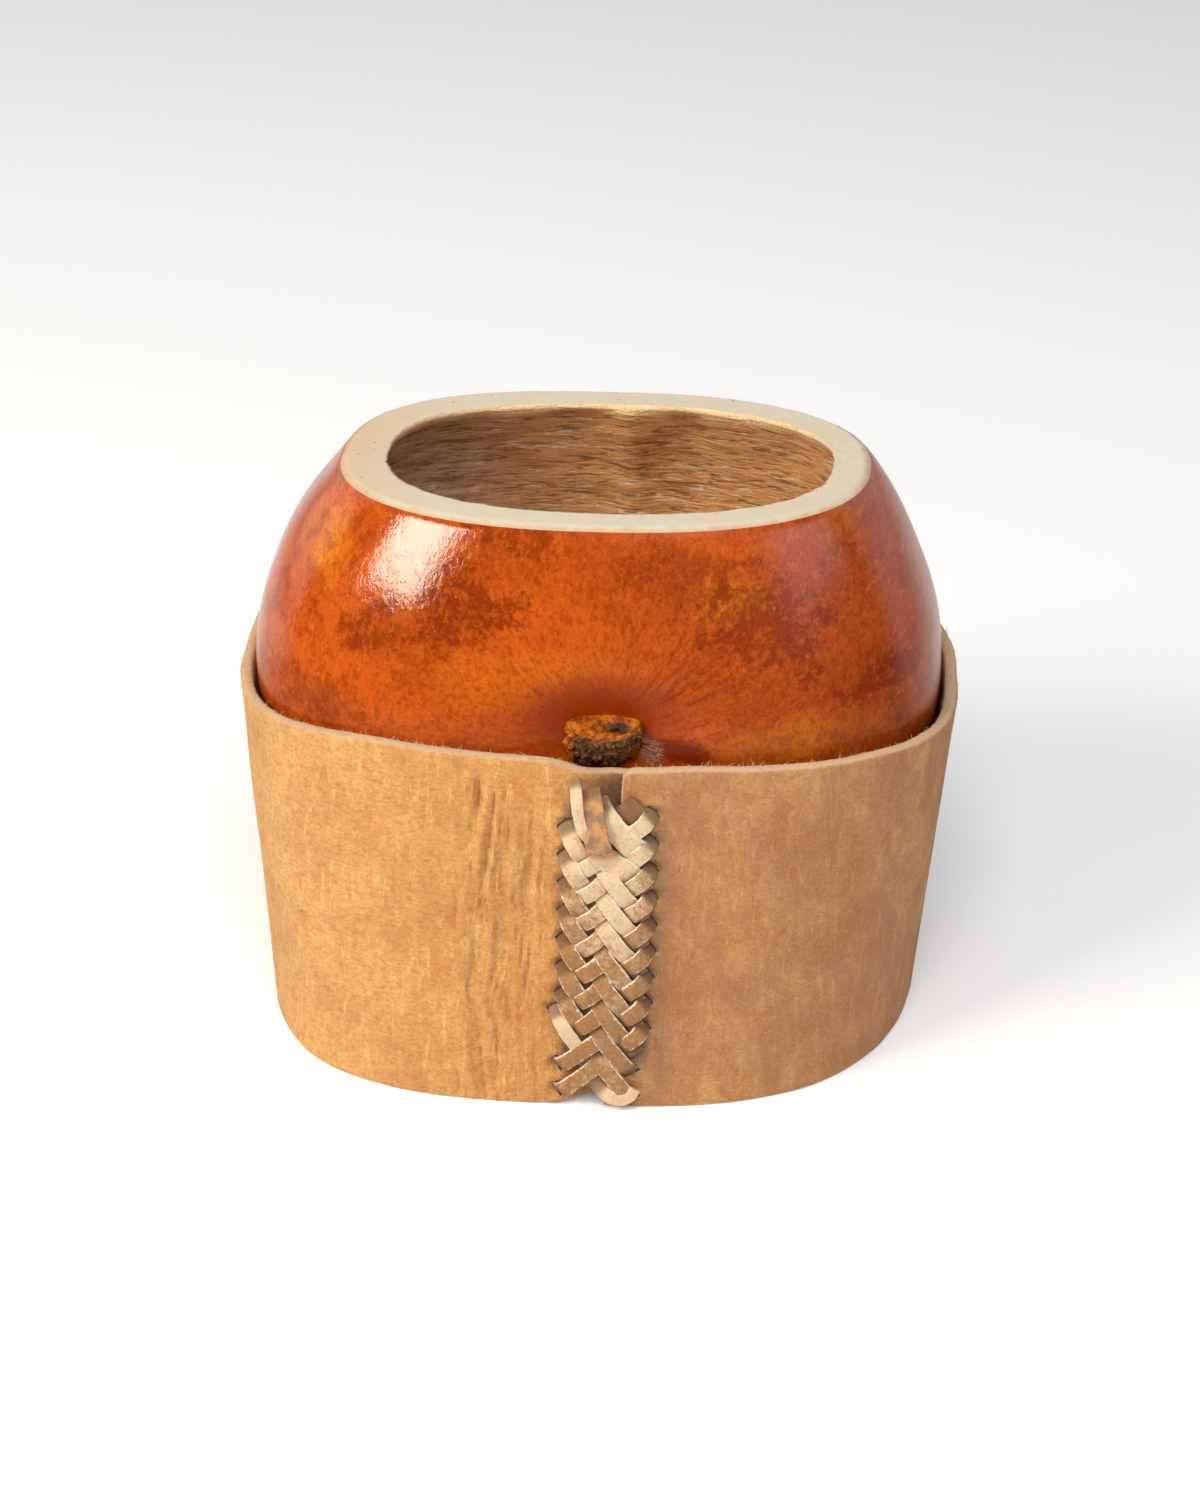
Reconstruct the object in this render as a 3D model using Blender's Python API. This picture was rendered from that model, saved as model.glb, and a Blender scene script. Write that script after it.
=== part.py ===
"""Mate gourd cup: a flattened gourd cut open on its edge, standing in a laced ring of hide.

Sizes below are in millimetres and become metres where the vertices are made. They are measured
from the middle of the gourd. MIDDLE_SHIFT then puts the middle of the whole over the origin.
The cup stands on z = 0. Its stem stub and the lacing of the ring face -Y.
"""

import math

import bmesh
import bpy
from mathutils import Vector

MM = 0.001
MIDDLE_SHIFT = (-0.3, 0.55, 0.0)

# Gourd shell
GOURD_X = -0.35
GOURD_HALF_WIDTH = 54.35
GOURD_RISE_TO_TOP = 53.6
GOURD_DROP_TO_BOTTOM = 53.2
GOURD_MIDDLE_Z = 55.5
GOURD_HALF_DEPTH = 37.8
GOURD_TOP_TAPER = 0.19
GOURD_TAPER_CURVE = 1.4
GOURD_WIDTH_POWER = 1.83
GOURD_DEPTH_POWER = 2.0
GOURD_DEPTH_POWER_BELOW = 2.4
GOURD_POWER_FRONT = 2.75
GOURD_POWER_BACK = 2.25
RIM_POWERS_FRONT = (2.4, 2.3)
RIM_POWERS_BACK = (2.3, 2.75)
WALL_AT_EDGE = 5.0
WALL_AT_FACE = 5.3
RIM_X = 0.0
RIM_Z = 88.8
RIM_TILT = 0.03
RIM_ROUNDING = 0.6
RIM_LIP_DROP = 1.3
RIM_LIP_WIDTH = 0.6
INSIDE_X = 0.8
INSIDE_Y = -0.4
GOURD_POINTS_AROUND = 60
OUTER_RINGS = 17
INNER_RINGS = 14

# Stem end: a dimple with the bent, cut stub of the stem in it
STEM_X = 4.0
STEM_Z = 58.0
DIMPLE_DEPTH = 3.8
DIMPLE_INSIDE_DEPTH = 2.2
DIMPLE_SPREAD = 10.0
STUB_PIT_DEPTH = 1.4

# Ring of hide
BAND_HEIGHT = 58.0
BAND_THICKNESS = 2.1
BAND_TOP = {
    "half_width": 57.1,
    "half_depth": 40.6,
    "shift_x": -0.25,
    "turn": -0.015,
    "front_powers": (2.95, 2.9),
    "back_powers": (2.4, 2.6),
}
BAND_BOTTOM = {
    "half_width": 53.1,
    "half_depth": 48.7,
    "shift_x": 0.6,
    "turn": 0.045,
    "front_powers": (2.8, 3.1),
    "back_powers": (2.6, 2.8),
}
BAND_EDGE_ROUNDING = 0.5
BAND_STATIONS = 76
SEAM_AT_TOP = 7.2
SEAM_AT_BOTTOM = 4.6
SEAM_OVERLAP = 2.6
TUCK_LENGTH = 7.0
TUCK_DEPTH = 2.4
END_LENGTH = 13.0
END_LIFT = 0.8
END_DROP = 2.6
START_DROP = 0.9
DIP_RIGHT = 3.2
DIP_LEFT = 3.4

# Thong of the lacing
THONG_THICKNESS = 0.7
THONG_WIDTH = 2.6
THONG_END_WIDTH = 2.1
LACING_CLEARANCE = 0.35
LACING_X = (-2.3, 1.2, 4.4, 8.6, 12.1)
FALL_PITCH = 4.67
FALL_FIRST_Z = 49.7
FALL_DROP = (0.0, 5.8, 12.2, 18.0, 23.2)
RISE_PITCH = 4.48
RISE_FIRST_Z = 38.5
RISE_CLIMB = (0.0, 2.9, 5.5, 9.3, 12.6)
LEVEL_UNDER = LACING_CLEARANCE + 0.5 * THONG_THICKNESS
LEVEL_OVER = LEVEL_UNDER + THONG_THICKNESS - 0.05
LEVEL_TOP = LEVEL_OVER + THONG_THICKNESS - 0.08
SLIT_LENGTH = 3.0
SLIT_WIDTH = 1.8


# Small helpers


def clear_scene():
    for item in list(bpy.data.objects):
        bpy.data.objects.remove(item, do_unlink=True)


def mix(low, high, share):
    return low + (high - low) * share


def smooth(value):
    value = min(max(value, 0.0), 1.0)
    return value * value * (3.0 - 2.0 * value)


def along(stops, values, position):
    """Value at a position between stops, on a curve that passes through every stop."""
    last = len(stops) - 1
    index = 0
    while index < last - 1 and position > stops[index + 1]:
        index += 1
    span = stops[index + 1] - stops[index]
    share = (position - stops[index]) / span

    def slope(at):
        low = max(at - 1, 0)
        high = min(at + 1, last)
        return (values[high] - values[low]) / (stops[high] - stops[low])

    a = values[index]
    b = values[index + 1]
    if share < 0.0 or share > 1.0:
        return a + (b - a) * share
    start = slope(index) * span
    end = slope(index + 1) * span
    cube = share ** 3
    square = share ** 2
    return (
        a * (2 * cube - 3 * square + 1)
        + start * (cube - 2 * square + share)
        + b * (3 * square - 2 * cube)
        + end * (cube - square)
    )


def material(name, colour, roughness):
    made = bpy.data.materials.new(name)
    made.use_nodes = True
    shader = made.node_tree.nodes["Principled BSDF"]
    shader.inputs["Base Color"].default_value = (*colour, 1.0)
    shader.inputs["Roughness"].default_value = roughness
    return made


def object_from(name, points, faces, surface):
    mesh = bpy.data.meshes.new(name)
    shift = Vector(MIDDLE_SHIFT)
    mesh.from_pydata([(Vector(point) + shift) * MM for point in points], [], faces)
    work = bmesh.new()
    work.from_mesh(mesh)
    bmesh.ops.recalc_face_normals(work, faces=work.faces)
    work.to_mesh(mesh)
    work.free()
    made = bpy.data.objects.new(name, mesh)
    made.data.materials.append(surface)
    bpy.context.scene.collection.objects.link(made)
    return made


def tube_faces(rings, count, first=0):
    """Quads between consecutive rings of count points that start at index first."""
    faces = []
    for ring in range(rings - 1):
        for step in range(count):
            nearby = (step + 1) % count
            low = first + ring * count
            faces.append((low + step, low + nearby, low + count + nearby, low + count + step))
    return faces


def hide_as_tool(tool):
    tool.hide_render = True
    tool.display_type = "WIRE"


def add_boolean(target, tool, operation):
    modifier = target.modifiers.new(tool.name, "BOOLEAN")
    modifier.operation = operation
    modifier.solver = "EXACT"
    modifier.object = tool
    hide_as_tool(tool)


# Gourd


def dimple(x, z, depth):
    away = ((x - STEM_X) ** 2 + (z - STEM_Z) ** 2) / DIMPLE_SPREAD ** 2
    return depth * math.exp(-away)


def shell_reach(rise, wall_edge):
    """Rise as a share of the way to the top or the bottom pole of a shell surface."""
    tall = (GOURD_RISE_TO_TOP if rise > 0.0 else GOURD_DROP_TO_BOTTOM) - wall_edge
    return min(abs(rise) / tall, 1.0)


def rounded_off(reach, power):
    return (1.0 - reach ** power) ** (1.0 / power)


def shell_half_width(rise, wall_edge):
    width = GOURD_HALF_WIDTH - wall_edge
    return width * rounded_off(shell_reach(rise, wall_edge), GOURD_WIDTH_POWER)


def shell_half_depth(rise, wall_edge, wall_face):
    upward = min(max(rise / (RIM_Z - GOURD_MIDDLE_Z), 0.0), 1.1)
    depth = GOURD_HALF_DEPTH * (1.0 - GOURD_TOP_TAPER * upward ** GOURD_TAPER_CURVE) - wall_face
    power = GOURD_DEPTH_POWER if rise > 0.0 else GOURD_DEPTH_POWER_BELOW
    return depth * rounded_off(shell_reach(rise, wall_edge), power)


def shell_power(rise, front, left):
    """Power of a ring's oval: higher is squarer. It changes from the middle to the rim."""
    middle = GOURD_POWER_FRONT if front else GOURD_POWER_BACK
    rim = (RIM_POWERS_FRONT if front else RIM_POWERS_BACK)[1 if left else 0]
    return mix(middle, rim, smooth(rise / (RIM_Z - GOURD_MIDDLE_Z)))


def shell_ring(rise, wall_edge, wall_face, dimple_depth, grow=0.0):
    """One ring of a shell surface, counter-clockwise from +X, tilting as it nears the rim."""
    upward = smooth((rise / (RIM_Z - GOURD_MIDDLE_Z) - 0.5) / 0.5)
    middle_x = mix(GOURD_X, RIM_X, upward)
    middle_y = 0.0
    if wall_face > 0.0:
        middle_x += INSIDE_X * upward
        middle_y += INSIDE_Y * upward
    half_width = shell_half_width(rise, wall_edge)
    half_depth = shell_half_depth(rise, wall_edge, wall_face)
    points = []
    for step in range(GOURD_POINTS_AROUND):
        angle = 2.0 * math.pi * (step + 0.5) / GOURD_POINTS_AROUND
        cosine = math.cos(angle)
        sine = math.sin(angle)
        front = sine < 0.0
        bend = 2.0 / shell_power(rise, front, cosine < 0.0)
        x = half_width * math.copysign(abs(cosine) ** bend, cosine)
        y = half_depth * math.copysign(abs(sine) ** bend, sine)
        z = GOURD_MIDDLE_Z + rise + upward * RIM_TILT * x
        if front:
            y += dimple(middle_x + x, z, dimple_depth)
        stretch = 1.0 + grow / max(math.hypot(x, y), 1.0)
        points.append((middle_x + x * stretch, middle_y + y * stretch, z))
    return points


def ring_rises(wall_edge, top_rise, count):
    """Rises of the rings of a shell surface, from just above its bottom pole to top_rise."""
    drop = GOURD_DROP_TO_BOTTOM - wall_edge
    tall = GOURD_RISE_TO_TOP - wall_edge
    last = 0.5 * math.pi + math.asin(top_rise / tall)
    rises = []
    for ring in range(count):
        height = -math.cos(last * (ring + 1) / count)
        rises.append(height * (tall if height > 0.0 else drop))
    return rises


def gourd_shell(surface):
    rim_rise = RIM_Z - GOURD_MIDDLE_Z
    rings = []
    for rise in ring_rises(0.0, rim_rise - RIM_ROUNDING, OUTER_RINGS):
        rings.append(shell_ring(rise, 0.0, 0.0, DIMPLE_DEPTH))
    rings.append(shell_ring(rim_rise, 0.0, 0.0, DIMPLE_DEPTH, -RIM_ROUNDING))
    rings.append(shell_ring(rim_rise, WALL_AT_EDGE, WALL_AT_FACE, 0.0, RIM_LIP_WIDTH))
    for rise in reversed(ring_rises(WALL_AT_EDGE, rim_rise - RIM_LIP_DROP, INNER_RINGS)):
        rings.append(shell_ring(rise, WALL_AT_EDGE, WALL_AT_FACE, DIMPLE_INSIDE_DEPTH))
    count = GOURD_POINTS_AROUND
    points = [point for ring in rings for point in ring]
    faces = tube_faces(len(rings), count)
    outer_pole = len(points)
    points.append((GOURD_X, 0.0, GOURD_MIDDLE_Z - GOURD_DROP_TO_BOTTOM))
    inner_pole = len(points)
    points.append((GOURD_X, 0.0, GOURD_MIDDLE_Z - GOURD_DROP_TO_BOTTOM + WALL_AT_EDGE))
    last = (len(rings) - 1) * count
    for step in range(count):
        nearby = (step + 1) % count
        faces.append((outer_pole, nearby, step))
        faces.append((inner_pole, last + step, last + nearby))
    return object_from("gourd", points, faces, surface)


def stem_stub(surface):
    """Stub that leaves the dimple, turns upwards and ends in a cut face with a pit in it."""
    sides = 16
    path = (
        (3.5, -31.4, 54.6, 4.4, 2.6),
        (3.7, -31.9, 57.4, 4.9, 3.4),
        (3.8, -32.1, 59.4, 5.0, 3.3),
        (3.9, -33.5, 60.2, 5.1, 4.2),
        (4.0, -34.5, 60.8, 5.0, 3.8),
        (4.0, -34.8, 61.3, 4.5, 3.2),
        (5.4, -34.9, 61.3, 1.9, 1.0),
        (5.4, -34.8, 61.3 - STUB_PIT_DEPTH, 1.2, 0.6),
    )
    points = []
    for x, y, z, half_width, half_depth in path:
        for step in range(sides):
            angle = 2.0 * math.pi * step / sides
            back = half_depth * math.sin(angle)
            points.append((x + half_width * math.cos(angle), y + back, z + 0.16 * back))
    faces = tube_faces(len(path), sides)
    faces.append(tuple(range(sides)))
    faces.append(tuple(range((len(path) - 1) * sides, len(path) * sides)))
    return object_from("stem_stub", points, faces, surface)


def build_gourd():
    surface = material("gourd_shell", (0.56, 0.10, 0.012), 0.3)
    gourd = gourd_shell(surface)
    add_boolean(gourd, stem_stub(surface), "UNION")
    return gourd


# Ring of hide


def oval_table(oval):
    """Points round an oval from its front middle towards +X, each with the length so far."""
    steps = 1440
    rows = []
    length = 0.0
    before = None
    for step in range(steps + 1):
        angle = 2.0 * math.pi * step / steps - 0.5 * math.pi
        cosine = math.cos(angle)
        sine = math.sin(angle)
        powers = oval["front_powers"] if sine < 0.0 else oval["back_powers"]
        power = 2.0 / (powers[0] if cosine > 0.0 else powers[1])
        x = oval["half_width"] * math.copysign(abs(cosine) ** power, cosine)
        y = oval["half_depth"] * math.copysign(abs(sine) ** power, sine)
        y += oval["turn"] * x
        if before is not None:
            length += math.hypot(x - before[0], y - before[1])
        before = (x, y)
        rows.append((length, x + oval["shift_x"], y))
    return rows


BAND_TABLES = (oval_table(BAND_BOTTOM), oval_table(BAND_TOP))
BAND_LENGTH = 0.5 * (BAND_TABLES[0][-1][0] + BAND_TABLES[1][-1][0])


def table_point(rows, share):
    """Point at a share of the way round an oval."""
    wanted = (share % 1.0) * rows[-1][0]
    low = 0
    high = len(rows) - 1
    while high - low > 1:
        half = (low + high) // 2
        if rows[half][0] <= wanted:
            low = half
        else:
            high = half
    span = max(rows[high][0] - rows[low][0], 1e-9)
    part = (wanted - rows[low][0]) / span
    return (mix(rows[low][1], rows[high][1], part), mix(rows[low][2], rows[high][2], part))


def band_outside(distance, z):
    """Point on the outer face of the ring, a distance round from its front middle."""
    share = distance / BAND_LENGTH
    up = z / BAND_HEIGHT
    bottom = table_point(BAND_TABLES[0], share)
    top = table_point(BAND_TABLES[1], share)
    return Vector((mix(bottom[0], top[0], up), mix(bottom[1], top[1], up), z))


def band_frame(distance, z):
    """Point on the outer face of the ring with its outward normal."""
    here = band_outside(distance, z)
    round_ring = band_outside(distance + 0.8, z) - band_outside(distance - 0.8, z)
    upward = band_outside(distance, z + 1.0) - band_outside(distance, z - 1.0)
    return here, round_ring.cross(upward).normalized()


def band_section():
    """Pairs of height and depth round the cut through the strip, from the outer bottom edge."""
    edge = BAND_EDGE_ROUNDING
    outer = [(edge, 0.0)]
    outer += [(BAND_HEIGHT * part, 0.0) for part in (0.3, 0.6, 0.85)]
    outer += [(BAND_HEIGHT - edge, 0.0), (BAND_HEIGHT, edge)]
    inner = [(BAND_HEIGHT, BAND_THICKNESS - edge), (BAND_HEIGHT - edge, BAND_THICKNESS)]
    inner += [(BAND_HEIGHT * part, BAND_THICKNESS) for part in (0.8, 0.5, 0.2)]
    return outer + inner + [(0.0, BAND_THICKNESS), (0.0, edge)]


def band_distances():
    """Distances of the stations past the seam: close together where the strip is tucked in."""
    whole = BAND_LENGTH + SEAM_OVERLAP
    plain_end = BAND_LENGTH - TUCK_LENGTH - 6.0
    plain = [plain_end * step / BAND_STATIONS for step in range(BAND_STATIONS + 1)]
    steps = 8
    tucked = [mix(plain_end, whole, (step + 1) / steps) for step in range(steps)]
    return [0.0, 0.8] + plain[1:] + tucked


def strip_raise(distance, share):
    """How far the strip is raised at a distance past the seam and a share of its height.

    Its top edge dips round the sides and the back, and the strip narrows towards its tucked end.
    """
    front = min(distance, BAND_LENGTH - distance)
    dip = mix(DIP_RIGHT, DIP_LEFT, smooth((distance - 120.0) / 80.0)) * smooth((front - 36.0) / 36.0)
    end = smooth((distance - BAND_LENGTH + END_LENGTH) / END_LENGTH)
    start = START_DROP * smooth(1.0 - distance / END_LENGTH)
    return mix(END_LIFT * end, -dip - END_DROP * end - start, share)


def hide_strip(surface):
    section = band_section()
    stations = band_distances()
    points = []
    for distance in stations:
        past_end = distance - BAND_LENGTH
        tuck = TUCK_DEPTH * smooth((past_end + TUCK_LENGTH) / (TUCK_LENGTH - 0.8))
        for z, depth in section:
            seam = mix(SEAM_AT_BOTTOM, SEAM_AT_TOP, z / BAND_HEIGHT)
            here, normal = band_frame(seam + distance, z)
            flat_normal = Vector((normal.x, normal.y, 0.0)).normalized()
            point = here - flat_normal * (depth + tuck)
            points.append((point.x, point.y, z + strip_raise(distance, z / BAND_HEIGHT)))
    count = len(section)
    faces = tube_faces(len(stations), count)
    faces.append(tuple(range(count)))
    faces.append(tuple(range((len(stations) - 1) * count, len(stations) * count)))
    return object_from("band", points, faces, surface)


def slit_cutter(slits, surface):
    """All the slits of the thong as one tool: a box across the strip at each of them."""
    points = []
    faces = []
    corners = ((-1, -1), (1, -1), (1, 1), (-1, 1))
    for x, z, turn in slits:
        here, normal = band_frame(x, z)
        across = Vector((0.0, 0.0, 1.0)).cross(normal).normalized()
        upward = normal.cross(across)
        long_way = across * math.cos(turn) + upward * math.sin(turn)
        short_way = upward * math.cos(turn) - across * math.sin(turn)
        first = len(points)
        for reach in (1.0, -BAND_THICKNESS - TUCK_DEPTH - 1.0):
            for a, b in corners:
                side = long_way * (0.5 * SLIT_LENGTH * a) + short_way * (0.5 * SLIT_WIDTH * b)
                points.append(tuple(here + side + normal * reach))
        faces += tube_faces(2, 4, first)
        faces.append(tuple(first + index for index in range(4)))
        faces.append(tuple(first + 4 + index for index in range(4)))
    return object_from("slits", points, faces, surface)


# Lacing: falling strands run down to the right, rising strands run up to the right


def falling_z(strand, x):
    return FALL_FIRST_Z - FALL_PITCH * strand - along(LACING_X, FALL_DROP, x)


def rising_z(strand, x):
    return RISE_FIRST_Z - RISE_PITCH * strand + along(LACING_X, RISE_CLIMB, x)


LEFT_DIVE = ((-2.2, -1.3), (-2.0, 0.2))
OVER_UNDER = (
    (-1.2, LEVEL_OVER),
    (0.6, LEVEL_OVER),
    (1.9, LEVEL_UNDER),
    (3.8, LEVEL_UNDER),
    (5.1, LEVEL_OVER),
    (7.9, LEVEL_OVER),
    (9.2, LEVEL_UNDER),
    (10.6, LEVEL_UNDER),
)
UNDER_OVER = (
    (-0.6, LEVEL_UNDER),
    (0.6, LEVEL_UNDER),
    (1.9, LEVEL_OVER),
    (3.8, LEVEL_OVER),
    (5.1, LEVEL_UNDER),
    (7.9, LEVEL_UNDER),
    (9.2, LEVEL_OVER),
    (10.8, LEVEL_OVER),
)
RIGHT_DIVE = ((11.6, 0.2), (11.8, -1.3))


def falling_strand(strand):
    stops = LEFT_DIVE + OVER_UNDER
    if strand >= 5:
        stops = LEFT_DIVE + OVER_UNDER[:5] + ((8.6, LEVEL_OVER), (9.75, 0.2), (9.95, -1.3))
    return [(x, falling_z(strand, x), level) for x, level in stops]


def rising_strand(strand):
    stops = UNDER_OVER + RIGHT_DIVE
    if strand >= 7:
        stops = ((-2.0, -1.3), (-1.8, 0.2), (-0.9, LEVEL_OVER)) + UNDER_OVER[3:] + RIGHT_DIVE
    return [(x, rising_z(strand, x), level) for x, level in stops]


def start_strands():
    """The three strands that begin the lacing: a loop, a folded flap and a wide tab."""
    loop = [(-0.55, 54.8, -1.3), (-0.45, 54.5, 0.2), (0.1, 53.6, LEVEL_OVER)]
    loop += [(1.1, 50.6, LEVEL_TOP), (2.2, 47.1, LEVEL_OVER), (3.6, 43.6, LEVEL_UNDER)]
    loop += [(x, falling_z(-1, x), level) for x, level in OVER_UNDER[4:]]
    flap = [(2.1, 54.6, 0.3), (2.6, 53.0, 1.1), (3.9, 49.2, LEVEL_TOP)]
    flap += [(4.7, 45.6, LEVEL_TOP), (6.2, 43.0, LEVEL_OVER)]
    flap += [(x, falling_z(-2, x), level) for x, level in OVER_UNDER[5:]]
    tab = [(3.6, 52.4, -0.1), (4.4, 51.4, 0.6)]
    tab += [(x, falling_z(-3, x), level) for x, level in OVER_UNDER[4:]]
    return (loop, 2.6), (flap, 3.2), (tab, 3.1)


def end_loop():
    """The pale last strand: it comes out under the others and turns round to the lowest slit."""
    path = [(x, falling_z(7, x), level) for x, level in LEFT_DIVE + OVER_UNDER[:3]]
    path += [(3.2, 6.4, LEVEL_UNDER), (4.5, 4.2, LEVEL_UNDER), (6.3, 2.7, LEVEL_OVER)]
    path += [(8.2, 2.3, LEVEL_OVER), (9.4, 2.9, LEVEL_OVER), (10.3, 4.2, LEVEL_OVER)]
    return path, 2.2


def strand_points(path, width):
    """Corners of a flat strand along a path of x, z and height over the ring's face."""
    centres = []
    normals = []
    for x, z, level in path:
        here, normal = band_frame(x, z)
        centres.append(here + normal * level)
        normals.append(normal)
    points = []
    last = len(path) - 1
    for index, centre in enumerate(centres):
        ahead = centres[min(index + 1, last)] - centres[max(index - 1, 0)]
        ahead.normalize()
        side = ahead.cross(normals[index]).normalized()
        out = side.cross(ahead).normalized()
        dives = path[index][2] < LEVEL_UNDER - 0.1
        half = 0.5 * (THONG_END_WIDTH if dives else width)
        thick = 0.5 * THONG_THICKNESS
        for a, b in ((-1, -1), (1, -1), (1, 1), (-1, 1)):
            points.append(tuple(centre + side * (half * a) + out * (thick * b)))
    return points


def strand_object(name, path, width, surface):
    points = strand_points(path, width)
    count = len(path)
    faces = tube_faces(count, 4)
    faces.append((0, 1, 2, 3))
    faces.append(tuple(4 * (count - 1) + index for index in range(4)))
    return object_from(name, points, faces, surface)


def all_strands():
    strands = list(start_strands())
    strands += [(falling_strand(strand), THONG_WIDTH) for strand in range(7)]
    strands.append(end_loop())
    strands += [(rising_strand(strand), THONG_WIDTH) for strand in range(9)]
    return strands


def thong_slits():
    """Places and turns of the slits that the strands go into."""
    fall_turn = math.atan2(3.5, 5.8)
    rise_turn = -math.atan2(3.5, 3.3)
    slits = [(-2.0, falling_z(strand, -2.0), fall_turn) for strand in range(8)]
    slits += [(11.6, rising_z(strand, 11.6), rise_turn) for strand in range(9)]
    slits += [(-1.8, rising_z(strand, -1.8), -math.pi * 0.3) for strand in (7, 8)]
    slits += [(9.75, falling_z(strand, 9.75), fall_turn) for strand in (5, 6)]
    slits.append((-0.45, 54.6, 0.3))
    return slits


def build_band():
    surface = material("suede_hide", (0.72, 0.38, 0.13), 0.9)
    band = hide_strip(surface)
    add_boolean(band, slit_cutter(thong_slits(), surface), "DIFFERENCE")
    return band


def build_lacing():
    surface = material("rawhide_thong", (0.62, 0.42, 0.22), 0.8)
    strands = all_strands()
    path, width = strands[0]
    lacing = strand_object("lacing", path, width, surface)
    for index, (path, width) in enumerate(strands[1:]):
        add_boolean(lacing, strand_object(f"strand_{index + 1:02d}", path, width, surface), "UNION")
    return lacing


def main():
    clear_scene()
    build_gourd()
    build_band()
    build_lacing()


main()
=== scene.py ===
"""Looks of a mate gourd cup: a lacquered gourd shell in a ring of suede hide, laced with a thong.

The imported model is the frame, and each piece made here stands for one of its nodes. Shapes are
worked out in millimetres from the middle of the gourd, and in_frame() puts them in the frame.
"""

import math
import random

import bpy
import numpy as np
from bpy.props import FloatProperty, FloatVectorProperty, IntProperty, PointerProperty
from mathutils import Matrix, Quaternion, Vector, noise


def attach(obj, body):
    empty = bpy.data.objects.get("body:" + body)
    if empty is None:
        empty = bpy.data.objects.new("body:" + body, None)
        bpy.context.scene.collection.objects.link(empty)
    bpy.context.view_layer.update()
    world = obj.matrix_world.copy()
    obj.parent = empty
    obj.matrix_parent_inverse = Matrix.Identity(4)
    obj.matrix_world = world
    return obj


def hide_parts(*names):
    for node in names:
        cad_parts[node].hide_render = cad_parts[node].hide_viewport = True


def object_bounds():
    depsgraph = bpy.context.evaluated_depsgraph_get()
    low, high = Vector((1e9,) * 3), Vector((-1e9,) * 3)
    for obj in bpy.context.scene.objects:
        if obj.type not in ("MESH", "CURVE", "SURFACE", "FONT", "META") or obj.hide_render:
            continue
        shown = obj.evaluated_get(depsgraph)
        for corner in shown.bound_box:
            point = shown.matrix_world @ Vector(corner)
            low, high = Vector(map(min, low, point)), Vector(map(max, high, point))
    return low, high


bl_info = {
    "name": "Mate gourd cup",
    "version": (1, 0, 0),
    "blender": (4, 5, 0),
    "location": "View3D > Sidebar > Gourd Cup",
    "description": "Makes the shell, the hide ring, the lacing and the stage of a gourd cup",
    "category": "Object",
}

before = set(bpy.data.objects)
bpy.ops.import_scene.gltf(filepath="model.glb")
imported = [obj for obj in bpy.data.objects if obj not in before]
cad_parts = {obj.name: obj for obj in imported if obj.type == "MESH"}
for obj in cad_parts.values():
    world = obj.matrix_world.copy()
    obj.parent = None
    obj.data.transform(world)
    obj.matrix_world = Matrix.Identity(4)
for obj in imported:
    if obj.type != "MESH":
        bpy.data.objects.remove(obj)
CAD_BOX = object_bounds()

MM = 0.001
MIDDLE_SHIFT = Vector((-0.3, 0.55, 0.0))

# Gourd shell
SHELL_X = -0.35
SHELL_HALF_WIDTH = 54.35
SHELL_HALF_DEPTH = 37.8
SHELL_RISE_TO_TOP = 53.6
SHELL_DROP_TO_BOTTOM = 53.2
SHELL_MIDDLE_Z = 55.5
TOP_TAPER = 0.19
TAPER_CURVE = 1.4
WIDTH_POWER = 1.83
DEPTH_POWER = 2.0
DEPTH_POWER_BELOW = 2.4
POWER_FRONT = 2.75
POWER_BACK = 2.25
RIM_POWERS_FRONT = (2.4, 2.3)
RIM_POWERS_BACK = (2.3, 2.75)
WALL_AT_EDGE = 5.0
WALL_AT_FACE = 5.3
INSIDE_X = 0.8
INSIDE_Y = -0.4
RIM_X = 0.0
RIM_Z = 88.8
RIM_RISE = RIM_Z - SHELL_MIDDLE_Z
RIM_TILT = 0.03
RIM_ROUNDING = 0.6
LIP_WIDTH = 0.6
LIP_DROP = 1.3

# Stem end
STEM_X = 4.0
STEM_Z = 58.0
DIMPLE_DEPTH = 4.6
DIMPLE_INSIDE_DEPTH = 2.2
DIMPLE_SPREAD = 10.0

# Ring of hide: each pair of powers is for the right half and the left half of an outline
HIDE_HEIGHT = 58.0
HIDE_THICKNESS = 2.1
HIDE_TOP = {
    "half_width": 57.1,
    "half_depth": 40.6,
    "shift_x": -0.25,
    "turn": -0.015,
    "front_powers": (2.95, 2.9),
    "back_powers": (2.4, 2.6),
}
HIDE_BOTTOM = {
    "half_width": 53.1,
    "half_depth": 48.7,
    "shift_x": 0.6,
    "turn": 0.045,
    "front_powers": (2.8, 3.1),
    "back_powers": (2.6, 2.8),
}
SEAM_AT_TOP = 7.2
SEAM_AT_BOTTOM = 4.6
SEAM_OVERLAP = 2.6
TUCK_LENGTH = 7.0
TUCK_DEPTH = 2.4
END_LENGTH = 13.0
END_LIFT = 0.8
END_DROP = 2.6
START_DROP = 0.9
DIP_RIGHT = 3.2
DIP_LEFT = 3.4

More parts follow.
